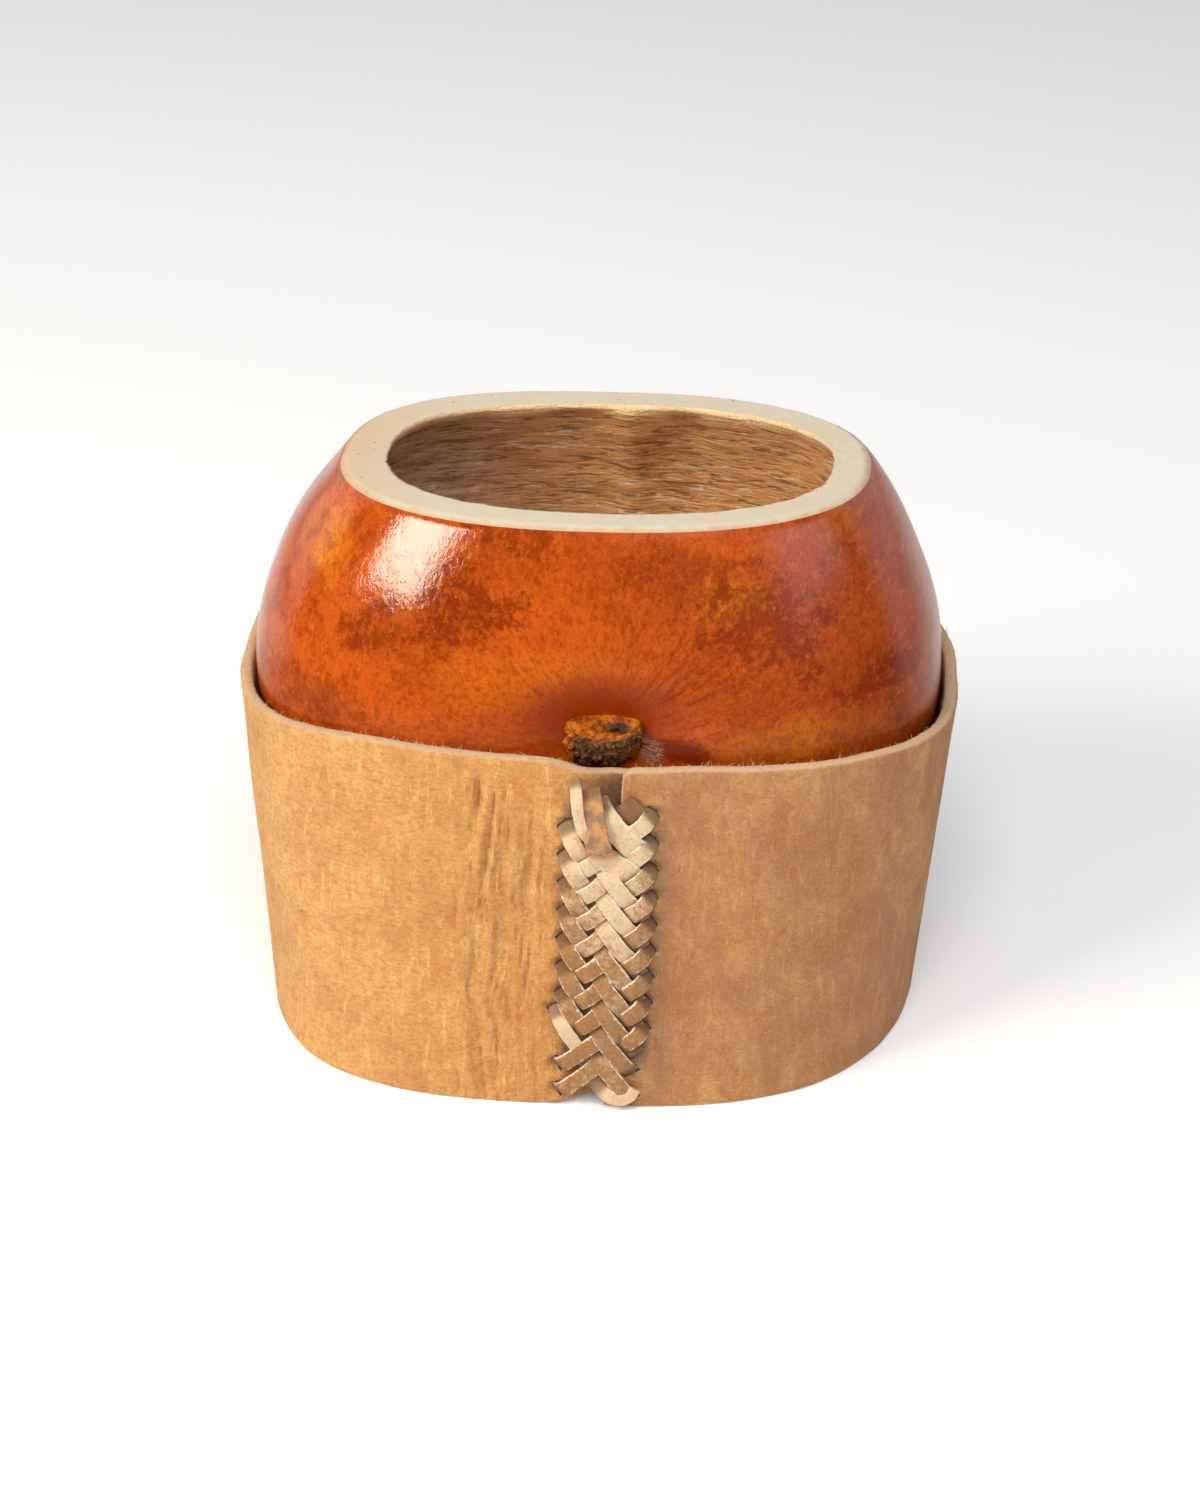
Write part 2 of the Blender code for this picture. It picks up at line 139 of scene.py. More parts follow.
# Thong of the lacing
LACING_CLEARANCE = 0.35
THONG_LAYER = 0.7
LACING_X = (-2.3, 1.2, 4.4, 8.6, 12.1)
FALL_PITCH = 4.67
FALL_FIRST_Z = 49.7
FALL_DROP = (0.0, 5.8, 12.2, 18.0, 23.2)
RISE_PITCH = 4.48
RISE_FIRST_Z = 38.5
RISE_CLIMB = (0.0, 2.9, 5.5, 9.3, 12.6)
LEVEL_UNDER = LACING_CLEARANCE + 0.5 * THONG_LAYER
LEVEL_OVER = LEVEL_UNDER + THONG_LAYER - 0.05
LEVEL_TOP = LEVEL_OVER + THONG_LAYER - 0.08


# Settings that a user would change


def colour_field(name, description, default):
    return FloatVectorProperty(name=name, description=description, subtype="COLOR", default=default)


def length_field(name, description, default, least, most):
    return FloatProperty(
        name=name,
        description=description,
        subtype="DISTANCE",
        unit="LENGTH",
        default=default,
        min=least,
        max=most,
    )


def power_field(name, description, default):
    return FloatProperty(
        name=name, description=description, subtype="POWER", unit="POWER", default=default, min=0.0
    )


class ShellSettings(bpy.types.PropertyGroup):
    lacquer_colour: colour_field(
        "Lacquer", "Main colour of the lacquered shell", (0.52, 0.086, 0.008)
    )
    glow_colour: colour_field(
        "Light patches", "Colour of the shell where it is palest", (0.74, 0.225, 0.012)
    )
    blotch_colour: colour_field(
        "Blotches",
        "Colour of the dark blotches and streaks under the lacquer",
        (0.17, 0.018, 0.002),
    )
    rim_colour: colour_field("Cut rim", "Colour of the sawn wall of the shell", (0.62, 0.555, 0.45))
    inside_colour: colour_field("Inside", "Colour of the bare fibres inside", (1.0, 0.58, 0.235))
    swell: length_field("Swell", "Depth of the slow unevenness of the shell", 0.00022, 0.0, 0.001)
    columns: IntProperty(
        name="Columns",
        description="Faces round the shell",
        default=288,
        min=60,
        max=360,
    )


class HideSettings(bpy.types.PropertyGroup):
    tan_colour: colour_field("Tan", "Main colour of the suede", (0.80, 0.44, 0.155))
    # Darker, greyer suede right of the seam: painted shade of the side turned away from the key light.
    shaded_right_colour: colour_field(
        "Right side", "Colour of the suede right of the seam", (0.42, 0.205, 0.112)
    )
    gold_colour: colour_field("Gold", "Colour of the suede's lighter scuffs", (0.90, 0.54, 0.20))
    brown_colour: colour_field("Brown", "Colour of the suede's darker clouds", (0.44, 0.16, 0.045))
    edge_colour: colour_field("Cut edge", "Colour of the hide where it is cut", (0.68, 0.48, 0.30))
    wrinkle_depth: length_field(
        "Wrinkles", "Depth of the creases beside the seam", 0.0007, 0.0, 0.001
    )


class ThongSettings(bpy.types.PropertyGroup):
    width: length_field("Width", "Width of the thong", 0.0026, 0.001, 0.004)
    thickness: length_field("Thickness", "Thickness of the thong", 0.0006, 0.0003, 0.001)
    pale_colour: colour_field("Pale", "Colour of the clean rawhide", (0.74, 0.54, 0.34))
    worn_colour: colour_field(
        "Worn", "Colour of the rawhide that has darkened", (0.40, 0.185, 0.06)
    )


class StageSettings(bpy.types.PropertyGroup):
    floor_colour: colour_field("Floor", "Colour of the floor", (0.9, 0.9, 0.9))
    key_power: power_field("Key light", "Power of the large light at the front left", 5.2)
    side_power: power_field(
        "Side light", "Power of the soft light at the left, which is not mirrored in the shell", 2.1
    )
    fill_power: power_field("Fill light", "Power of the soft light at the front right", 1.3)
    front_power: power_field(
        "Front light", "Power of the soft light high in front, which reaches into the mouth", 6.2
    )
    room_light: FloatProperty(
        name="Room light",
        description="Strength of the even light from all round",
        default=0.3,
        min=0.0,
    )
    distance: FloatProperty(
        name="Camera distance",
        description="Distance of the camera from what it looks at",
        subtype="DISTANCE",
        unit="LENGTH",
        default=0.46,
        min=0.1,
    )
    lens: FloatProperty(
        name="Lens",
        description="Focal length in millimetres on a frame 36 mm long",
        default=67.19,
        min=10.0,
    )


# Numbers and vectors


def mix(low, high, share):
    return low + (high - low) * share


def smooth(value):
    value = min(max(value, 0.0), 1.0)
    return value * value * (3.0 - 2.0 * value)


def bump(value):
    """Bell that is 1 at 0 and nearly 0 beyond 2."""
    return math.exp(-value * value)


def cloud(point, size, octaves=2):
    """Smooth noise between about -1 and 1, with lumps of about the given size."""
    return noise.fractal(Vector(point) / size, 1.0, 2.0, octaves)


def along(stops, values, position):
    """Value at a position between stops, on a curve that passes through every stop."""
    last = len(stops) - 1
    index = 0
    while index < last - 1 and position > stops[index + 1]:
        index += 1
    span = stops[index + 1] - stops[index]
    share = (position - stops[index]) / span

    def slope(at):
        low = max(at - 1, 0)
        high = min(at + 1, last)
        return (values[high] - values[low]) / (stops[high] - stops[low])

    a = values[index]
    b = values[index + 1]
    if share < 0.0 or share > 1.0:
        return a + (b - a) * share
    start = slope(index) * span
    end = slope(index + 1) * span
    cube = share ** 3
    square = share ** 2
    return (
        a * (2 * cube - 3 * square + 1)
        + start * (cube - 2 * square + share)
        + b * (3 * square - 2 * cube)
        + end * (cube - square)
    )


def in_frame(point):
    return (Vector(point) + MIDDLE_SHIFT) * MM


def from_frame(place):
    return place / MM - MIDDLE_SHIFT


# Objects and edit mode


def deselect_all():
    if bpy.context.mode != "OBJECT":
        bpy.ops.object.mode_set(mode="OBJECT")
    bpy.ops.object.select_all(action="DESELECT")


def make_active(piece):
    deselect_all()
    piece.select_set(True)
    bpy.context.view_layer.objects.active = piece


def edit_all(piece):
    make_active(piece)
    bpy.ops.object.mode_set(mode="EDIT")
    bpy.ops.mesh.select_mode(type="VERT")
    bpy.ops.mesh.select_all(action="SELECT")


def leave_edit():
    bpy.ops.object.mode_set(mode="OBJECT")


def shaped_sheet(name, columns, rows, shape):
    """A grid with every corner put where shape(column, row) says, in millimetres."""
    deselect_all()
    bpy.ops.mesh.primitive_grid_add(x_subdivisions=columns, y_subdivisions=rows, size=1.0)
    sheet = bpy.context.object
    sheet.name = name
    sheet.data.name = name
    for vertex in sheet.data.vertices:
        column = round((vertex.co.x + 0.5) * columns)
        row = round((vertex.co.y + 0.5) * rows)
        vertex.co = in_frame(shape(column, row))
    return sheet


def keep_value(piece, name, values):
    attribute = piece.data.attributes.new(name, "FLOAT", "POINT")
    attribute.data.foreach_set("value", values)


def values_of(piece, name):
    return [item.value for item in piece.data.attributes[name].data]


def close_seams(piece):
    edit_all(piece)
    bpy.ops.mesh.remove_doubles(threshold=0.000002)
    leave_edit()


def raise_surface(piece, relief):
    """Moves each corner along its normal by relief(index, place), in millimetres."""
    mesh = piece.data
    moved = []
    for vertex in mesh.vertices:
        height = relief(vertex.index, from_frame(vertex.co))
        moved.append(vertex.co + vertex.normal * (height * MM))
    for vertex, place in zip(mesh.vertices, moved):
        vertex.co = place
    mesh.update()


def apply_modifiers(piece):
    make_active(piece)
    for modifier in list(piece.modifiers):
        bpy.ops.object.modifier_apply(modifier=modifier.name)


def shade_by_angle(piece, angle):
    make_active(piece)
    bpy.ops.object.shade_smooth_by_angle(angle=math.radians(angle))


def join(pieces, name):
    make_active(pieces[0])
    for piece in pieces:
        piece.select_set(True)
    bpy.ops.object.join()
    joined = bpy.context.object
    joined.name = name
    joined.data.name = name
    return joined


def keep_inside(piece):
    """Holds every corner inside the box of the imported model."""
    low, high = CAD_BOX
    for vertex in piece.data.vertices:
        vertex.co = [min(max(part, least), most) for part, least, most in zip(vertex.co, low, high)]


def finish_piece(piece, node):
    keep_inside(piece)
    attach(piece, "root")
    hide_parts(node)


# Shader nodes


def add_node(tree, kind, inputs=None, **settings):
    """A node with its settings, its input values and the links into it."""
    made = tree.nodes.new(kind)
    for name, value in settings.items():
        setattr(made, name, value)
    for name, value in (inputs or {}).items():
        socket = made.inputs[name]
        if isinstance(value, bpy.types.NodeSocket):
            tree.links.new(value, socket)
        else:
            socket.default_value = value
    return made


def calculate(tree, operation, first, second=0.0):
    return add_node(tree, "ShaderNodeMath", {0: first, 1: second}, operation=operation).outputs[0]


def times(tree, first, second):
    return calculate(tree, "MULTIPLY", first, second)


def blend_colours(tree, share, first, second):
    inputs = {0: share}
    for index, colour in ((6, first), (7, second)):
        inputs[index] = colour if isinstance(colour, bpy.types.NodeSocket) else (*colour, 1.0)
    return add_node(tree, "ShaderNodeMix", inputs, data_type="RGBA").outputs[2]


def tint(tree, colour, mask, strength, shade):
    """A colour turned towards a shade, by up to a strength where the mask is 1."""
    return blend_colours(tree, times(tree, mask, strength), colour, shade)


def stretch_range(tree, value, low, high, to_low=0.0, to_high=1.0):
    inputs = {0: value, 1: low, 2: high, 3: to_low, 4: to_high}
    return add_node(tree, "ShaderNodeMapRange", inputs, interpolation_type="SMOOTHSTEP").outputs[0]


def noise_value(tree, vector, scale, detail=3.0, roughness=0.55, distortion=0.0):
    inputs = {
        "Vector": vector,
        "Scale": scale,
        "Detail": detail,
        "Roughness": roughness,
        "Distortion": distortion,
    }
    return add_node(tree, "ShaderNodeTexNoise", inputs).outputs[0]


def scaled(tree, vector, factors):
    inputs = {0: vector, 1: factors}
    return add_node(tree, "ShaderNodeVectorMath", inputs, operation="MULTIPLY").outputs[0]


def length_of(tree, vector):
    return add_node(tree, "ShaderNodeVectorMath", {0: vector}, operation="LENGTH").outputs["Value"]


def wander_value(tree, amount, *noise_settings):
    """Noise round zero, up to about half the amount."""
    return times(tree, calculate(tree, "SUBTRACT", noise_value(tree, *noise_settings), 0.5), amount)


def millimetres(tree, centre=(0.0, 0.0, 0.0), stretch=(1.0, 1.0, 1.0)):
    """Object coordinates in millimetres from a centre, stretched along the axes."""
    place = add_node(tree, "ShaderNodeTexCoord").outputs["Object"]
    scale = tuple(1000.0 * share for share in stretch)
    moved = tuple(-(part + shift) * share for part, shift, share in zip(centre, MIDDLE_SHIFT, stretch))
    inputs = {"Vector": place, "Location": moved, "Scale": scale}
    return add_node(tree, "ShaderNodeMapping", inputs).outputs[0]


def attribute(tree, name):
    return add_node(tree, "ShaderNodeAttribute", attribute_name=name).outputs["Fac"]


def how_far_right(tree):
    """How far to the right a place is, in millimetres."""
    return add_node(tree, "ShaderNodeSeparateXYZ", {0: millimetres(tree)}).outputs["X"]


def new_surface(name, **values):
    """A material with its Principled shader, whose constant sockets are set by name."""
    surface = bpy.data.materials.new(name)
    surface.use_nodes = True
    tree = surface.node_tree
    shader = tree.nodes["Principled BSDF"]
    for socket, value in values.items():
        shader.inputs[socket.replace("_", " ")].default_value = value
    return surface, tree, shader


def add_bump(tree, shader, height, distance, strength=1.0):
    inputs = {"Height": height, "Distance": distance * MM, "Strength": strength}
    made = add_node(tree, "ShaderNodeBump", inputs)
    tree.links.new(made.outputs[0], shader.inputs["Normal"])


# Effects that several materials share


def new_group(name, inputs, outputs):
    """A node group with named sockets, given as pairs of name and kind."""
    group = bpy.data.node_groups.new(name, "ShaderNodeTree")
    for socket, kind in inputs:
        group.interface.new_socket(name=socket, in_out="INPUT", socket_type="NodeSocket" + kind)
    for socket, kind in outputs:
        group.interface.new_socket(name=socket, in_out="OUTPUT", socket_type="NodeSocket" + kind)
    start = group.nodes.new("NodeGroupInput")
    end = group.nodes.new("NodeGroupOutput")
    return group, start, end


def clouds_group():
    """Soft clouds, with a share between 0 and 1 that says how much they cover."""
    if "clouds" in bpy.data.node_groups:
        return bpy.data.node_groups["clouds"]
    inputs = (("Vector", "Vector"), ("Size", "Float"), ("Cover", "Float"), ("Softness", "Float"))
    group, start, end = new_group("clouds", inputs, (("Mask", "Float"),))
    scale = calculate(group, "DIVIDE", 1.0, start.outputs["Size"])
    spots = noise_value(group, start.outputs["Vector"], scale, 5.0, 0.62, 0.4)
    edge = calculate(group, "SUBTRACT", 0.72, times(group, start.outputs["Cover"], 0.44))
    low = calculate(group, "SUBTRACT", edge, start.outputs["Softness"])
    high = calculate(group, "ADD", edge, start.outputs["Softness"])
    group.links.new(stretch_range(group, spots, low, high), end.inputs["Mask"])
    return group


def grain_group():
    """Short matted fibres: a height for bump and a mask for lighter tips."""
    if "fibre_grain" in bpy.data.node_groups:
        return bpy.data.node_groups["fibre_grain"]
    inputs = (("Vector", "Vector"), ("Size", "Float"), ("Wander", "Float"))
    outputs = (("Height", "Float"), ("Tips", "Float"))
    group, start, end = new_group("fibre_grain", inputs, outputs)
    scale = calculate(group, "DIVIDE", 1.0, start.outputs["Size"])
    coarse = noise_value(group, start.outputs["Vector"], scale, 3.0, 0.7, start.outputs["Wander"])
    finer = times(group, scale, 3.1)
    fine = noise_value(group, start.outputs["Vector"], finer, 1.0, 0.6)
    height = calculate(group, "MULTIPLY_ADD", fine, 0.45)
    group.links.new(coarse, height.node.inputs[2])
    group.links.new(height, end.inputs["Height"])
    group.links.new(stretch_range(group, height, 0.72, 0.98), end.inputs["Tips"])
    return group


def clouds(tree, vector, size, cover, softness=0.08):
    inputs = {"Vector": vector, "Size": size, "Cover": cover, "Softness": softness}
    return add_node(tree, "ShaderNodeGroup", inputs, node_tree=clouds_group()).outputs["Mask"]


def grain(tree, vector, size, wander=0.5):
    inputs = {"Vector": vector, "Size": size, "Wander": wander}
    made = add_node(tree, "ShaderNodeGroup", inputs, node_tree=grain_group())
    return made.outputs["Height"], made.outputs["Tips"]


# Materials of the shell


def streaks_from_stem(tree, place):
    """Vector of angle, distance and depth round the stem, and the distance by itself."""
    parts = add_node(tree, "ShaderNodeSeparateXYZ", {0: place})
    angle = calculate(tree, "ARCTAN2", parts.outputs["X"], parts.outputs["Z"])
    away = length_of(tree, scaled(tree, place, (1.0, 0.0, 1.0)))
    inputs = {"X": angle, "Y": away, "Z": times(tree, parts.outputs["Y"], 0.02)}
    return add_node(tree, "ShaderNodeCombineXYZ", inputs).outputs[0], away


def front_patches(tree):
    """Returns the maker of the soft patches of the front, whose borders wander alike."""
    border = calculate(tree, "SUBTRACT", noise_value(tree, millimetres(tree), 0.16, 5.0, 0.7), 0.5)
    depth = add_node(tree, "ShaderNodeSeparateXYZ", {0: millimetres(tree)}).outputs["Y"]
    facing = stretch_range(tree, depth, -4.0, -20.0)

    def patch(centre, size, ragged=0.9):
        x, z = centre
        width, height = size
        away = length_of(tree, millimetres(tree, (x, 0.0, z), (1.0 / width, 0.0, 1.0 / height)))
        away = calculate(tree, "ADD", away, times(tree, border, ragged * 2.0))
        return times(tree, stretch_range(tree, away, 1.25, 0.45), facing)

    return patch


# Patches of the front of the shell: centre x and z, half width and half height, and strength
DARK_PATCHES = (
    ((-32.0, 72.5), (6.0, 4.0), 0.7),
    ((-19.0, 77.5), (10.0, 6.5), 0.8),
    ((-11.0, 87.0), (8.0, 3.5), 0.7),
    ((-41.0, 60.0), (10.0, 4.0), 0.5),
    ((27.0, 76.0), (12.0, 8.0), 0.7),
    ((44.0, 66.0), (8.0, 3.0), 0.7),
    ((14.0, 83.0), (12.0, 4.0), 0.45),
    ((15.0, 58.5), (5.0, 2.6), 0.85),
)
GLOW_PATCHES = (
    ((-42.0, 84.0), (5.5, 8.0), 0.85),
    ((-9.0, 68.0), (16.0, 5.0), 0.2),
    ((34.0, 60.0), (14.0, 4.0), 0.6),
    ((39.0, 88.5), (5.0, 3.0), 0.8),
    ((22.0, 80.0), (6.0, 3.0), 0.5),
)


def lacquered_shell(settings):
    """Orange lacquer over a shell with blotches and fine dark streaks, painted shade to the right, and
    painted shade and dark reflection round the stem end.
    """
    surface, tree, shader = new_surface("lacquered_shell", IOR=1.58)
    place = millimetres(tree, (STEM_X, 0.0, STEM_Z))
    radial, away = streaks_from_stem(tree, place)
    dark = settings.blotch_colour
    colour = settings.lacquer_colour
    patch = front_patches(tree)
    for centre, size, strength in GLOW_PATCHES:
        mask = times(tree, patch(centre, size), strength)
        colour = blend_colours(tree, mask, colour, settings.glow_colour)
    across = how_far_right(tree)
    # Darker towards the right: painted shade of the side turned away from the key light.
    right = stretch_range(tree, across, 5.0, 45.0)
    colour = tint(tree, colour, right, 0.55, (0.30, 0.040, 0.001))
    cloudy = clouds(tree, place, 17.0, 0.5, 0.12)
    colour = tint(tree, colour, cloudy, 0.35, dark)
    flecks = wander_value(tree, 4.0, scaled(tree, radial, (15.0, 0.42, 1.0)), 1.0, 4.0, 0.8)
    for centre, size, strength in DARK_PATCHES:
        mask = stretch_range(tree, calculate(tree, "ADD", patch(centre, size, 1.2), flecks), 0.25, 1.1)
        mask = times(tree, mask, patch(centre, (2.0 * size[0], 2.0 * size[1])))
        colour = blend_colours(tree, times(tree, mask, strength), colour, dark)
    mottle = noise_value(tree, scaled(tree, radial, (24.0, 0.8, 1.0)), 1.0, 4.0, 0.78)
    mottle = stretch_range(tree, mottle, 0.46, 0.62)
    colour = tint(tree, colour, mottle, 0.45, dark)
    speckle = stretch_range(tree, noise_value(tree, place, 1.8, 2.0, 0.8), 0.5, 0.66)
    colour = tint(tree, colour, speckle, 0.35, dark)
    pale = noise_value(tree, scaled(tree, radial, (26.0, 0.9, 1.0)), 1.3, 3.0, 0.8)
    pale = stretch_range(tree, pale, 0.52, 0.68)
    colour = tint(tree, colour, pale, 0.22, settings.glow_colour)
    rays = noise_value(tree, scaled(tree, radial, (10.0, 0.05, 1.0)), 1.0, 4.0, 0.85)
    rays = stretch_range(tree, rays, 0.5, 0.66)
    reach = times(tree, stretch_range(tree, away, 6.0, 11.0), stretch_range(tree, away, 30.0, 12.0))
    turn = add_node(tree, "ShaderNodeSeparateXYZ", {0: radial}).outputs["X"]
    side = stretch_range(tree, turn, 0.1, 0.7, 0.35, 1.0)
    side = times(tree, side, stretch_range(tree, turn, 1.7, 1.2, 0.2, 1.0))
    rays = times(tree, times(tree, rays, reach), side)
    colour = tint(tree, colour, rays, 0.75, (0.15, 0.015, 0.003))
    # Painted shade and a painted dark reflection in the dimple round the stem.
    shade = patch((1.5, 62.2), (14.0, 7.0), 0.35)
    colour = tint(tree, colour, shade, 0.8, (0.23, 0.022, 0.001))
    bruise = patch((15.0, 58.2), (5.5, 2.4), 0.8)
    colour = tint(tree, colour, bruise, 0.85, (0.15, 0.012, 0.002))
    scuffed = patch((10.5, 57.5), (2.6, 2.2), 1.6)
    fibres = noise_value(tree, scaled(tree, place, (1.0, 1.0, 3.0)), 0.9, 4.0, 0.8)
    scuffed = times(tree, scuffed, stretch_range(tree, fibres, 0.42, 0.6))
    colour = tint(tree, colour, scuffed, 0.85, (0.45, 0.28, 0.22))
    tree.links.new(colour, shader.inputs["Base Color"])
    matt = stretch_range(tree, across, -4.0, 20.0, 0.085, 0.21)
    matt = calculate(tree, "ADD", matt, times(tree, scuffed, 0.4))
    tree.links.new(matt, shader.inputs["Roughness"])
    brushed = noise_value(tree, scaled(tree, place, (1.0, 1.0, 0.45)), 1.0, 3.0, 0.7, 0.8)
    add_bump(tree, shader, brushed, 0.09, 0.4)
    return surface


def cut_rim(settings):
    """Pale sawn wall with pores, small dark specks and an orange line where the lacquer ends."""
    surface, tree, shader = new_surface("cut_rim", Roughness=0.8, Specular_IOR_Level=0.3)
    place = millimetres(tree)
    share = attribute(tree, "rim_share")
    left = stretch_range(tree, how_far_right(tree), -18.0, -44.0)
    colour = blend_colours(tree, times(tree, left, 0.7), settings.rim_colour, (0.62, 0.43, 0.25))
    warm = clouds(tree, place, 9.0, 0.45, 0.2)
    colour = tint(tree, colour, warm, 0.5, (0.62, 0.51, 0.37))
    pores = stretch_range(tree, noise_value(tree, place, 2.2, 3.0, 0.7), 0.56, 0.75)
    colour = tint(tree, colour, pores, 0.35, (0.50, 0.38, 0.26))
    specks = stretch_range(tree, noise_value(tree, place, 0.9, 1.0, 0.5), 0.74, 0.78)
    colour = tint(tree, colour, specks, 0.8, (0.22, 0.10, 0.04))
    wander = times(tree, noise_value(tree, place, 0.5, 2.0), 0.12)
    outer = stretch_range(tree, calculate(tree, "ADD", share, wander), 0.14, 0.05)
    colour = tint(tree, colour, outer, 0.6, (0.50, 0.27, 0.12))
    inner = stretch_range(tree, calculate(tree, "SUBTRACT", share, wander), 0.84, 0.97)
    colour = tint(tree, colour, inner, 0.45, (0.62, 0.42, 0.22))
    tree.links.new(colour, shader.inputs["Base Color"])
    height, _ = grain(tree, place, 0.7)
    add_bump(tree, shader, height, 0.2, 0.5)
    return surface


def fibrous_inside(settings):
    """Bare inside of the shell: wavy level fibres, orange to the right and grey to the left, where the
    grey is partly painted shade.
    """
    surface, tree, shader = new_surface("fibrous_inside", Roughness=0.85, Specular_IOR_Level=0.25)
    place = millimetres(tree)
    level = millimetres(tree, (0.0, 0.0, 0.0), (0.17, 0.17, 1.0))
    below = attribute(tree, "below_rim")
    # Greyer and darker at the left: partly the fibres' own colour, partly painted shade of the wall
    # the key light does not reach.
    right = stretch_range(tree, how_far_right(tree), -36.0, -2.0)
    colour = blend_colours(tree, right, (0.53, 0.42, 0.29), settings.inside_colour)
    brown = clouds(tree, place, 8.0, 0.5, 0.2)
    colour = tint(tree, colour, brown, 0.4, (0.82, 0.42, 0.15))
    middle = ridge_mask(tree)
    colour = tint(tree, colour, middle, 0.3, (0.62, 0.30, 0.11))
    threads = noise_value(tree, level, 1.0, 3.0, 0.7, 0.9)
    gaps = stretch_range(tree, threads, 0.52, 0.36)
    colour = tint(tree, colour, gaps, 0.72, (0.20, 0.10, 0.04))
    pale = stretch_range(tree, noise_value(tree, level, 1.3, 3.0, 0.8, 0.9), 0.5, 0.64)
    bands = stretch_range(tree, noise_value(tree, level, 0.45, 3.0, 0.7, 1.2), 0.36, 0.56)
    pale = times(tree, times(tree, pale, bands), stretch_range(tree, right, 0.0, 1.0, 0.6, 1.0))
    colour = blend_colours(tree, pale, colour, (1.0, 0.88, 0.66))
    wander = wander_value(tree, 3.0, place, 0.4, 4.0)
    lip = stretch_range(tree, calculate(tree, "ADD", below, wander), 3.0, 1.8)
    scraped = noise_value(tree, millimetres(tree, (0.0, 0.0, 0.0), (1.6, 1.6, 0.3)), 1.6, 3.0, 0.7)
    scraped = stretch_range(tree, scraped, 0.35, 0.65)
    lip_colour = blend_colours(tree, scraped, (0.98, 0.62, 0.27), (1.0, 0.82, 0.54))
    colour = blend_colours(tree, lip, colour, lip_colour)
    tree.links.new(colour, shader.inputs["Base Color"])
    fine, _ = grain(tree, place, 0.9, 0.5)
    height = calculate(tree, "ADD", threads, times(tree, fine, 0.25))
    add_bump(tree, shader, height, 0.9, 0.65)
    return surface


def ridge_mask(tree):
    """The darker lobe of the back wall, between its left boundary and the fibres to the right."""
    across = calculate(tree, "SUBTRACT", how_far_right(tree), 6.5)
    wander = wander_value(tree, 9.0, millimetres(tree), 0.12, 4.0)
    across = calculate(tree, "ABSOLUTE", calculate(tree, "ADD", across, wander))
    return stretch_range(tree, across, 7.5, 3.5)


def corky_stem():
    """Stub of the stem: crumbling dark cork, with lacquer left on the cut end and one side."""
    surface, tree, shader = new_surface("corky_stem", Specular_IOR_Level=0.35)
    place = millimetres(tree)
    crumbs = noise_value(tree, place, 1.6, 5.0, 0.75, 0.5)
    crumbs = stretch_range(tree, crumbs, 0.42, 0.6)
    colour = blend_colours(tree, crumbs, (0.04, 0.015, 0.005), (0.28, 0.125, 0.05))
    colour = tint(tree, colour, clouds(tree, place, 3.0, 0.5), 0.5, (0.15, 0.06, 0.02))
    lacquer = attribute(tree, "lacquer")
    ragged = wander_value(tree, 1.3, place, 0.8, 4.0)
    lacquer = stretch_range(tree, calculate(tree, "ADD", lacquer, ragged), 0.42, 0.56)
    shades = stretch_range(tree, noise_value(tree, place, 0.7, 4.0, 0.7), 0.38, 0.62)
    orange = blend_colours(tree, shades, (0.20, 0.035, 0.002), (0.54, 0.145, 0.004))
    colour = blend_colours(tree, lacquer, colour, orange)
    colour = blend_colours(tree, attribute(tree, "pit"), colour, (0.06, 0.035, 0.028))
    tree.links.new(colour, shader.inputs["Base Color"])
    tree.links.new(stretch_range(tree, lacquer, 0.0, 1.0, 0.9, 0.35), shader.inputs["Roughness"])
    height, _ = grain(tree, place, 0.9)
    add_bump(tree, shader, height, 0.5, 0.7)
    return surface


# Material of the hide


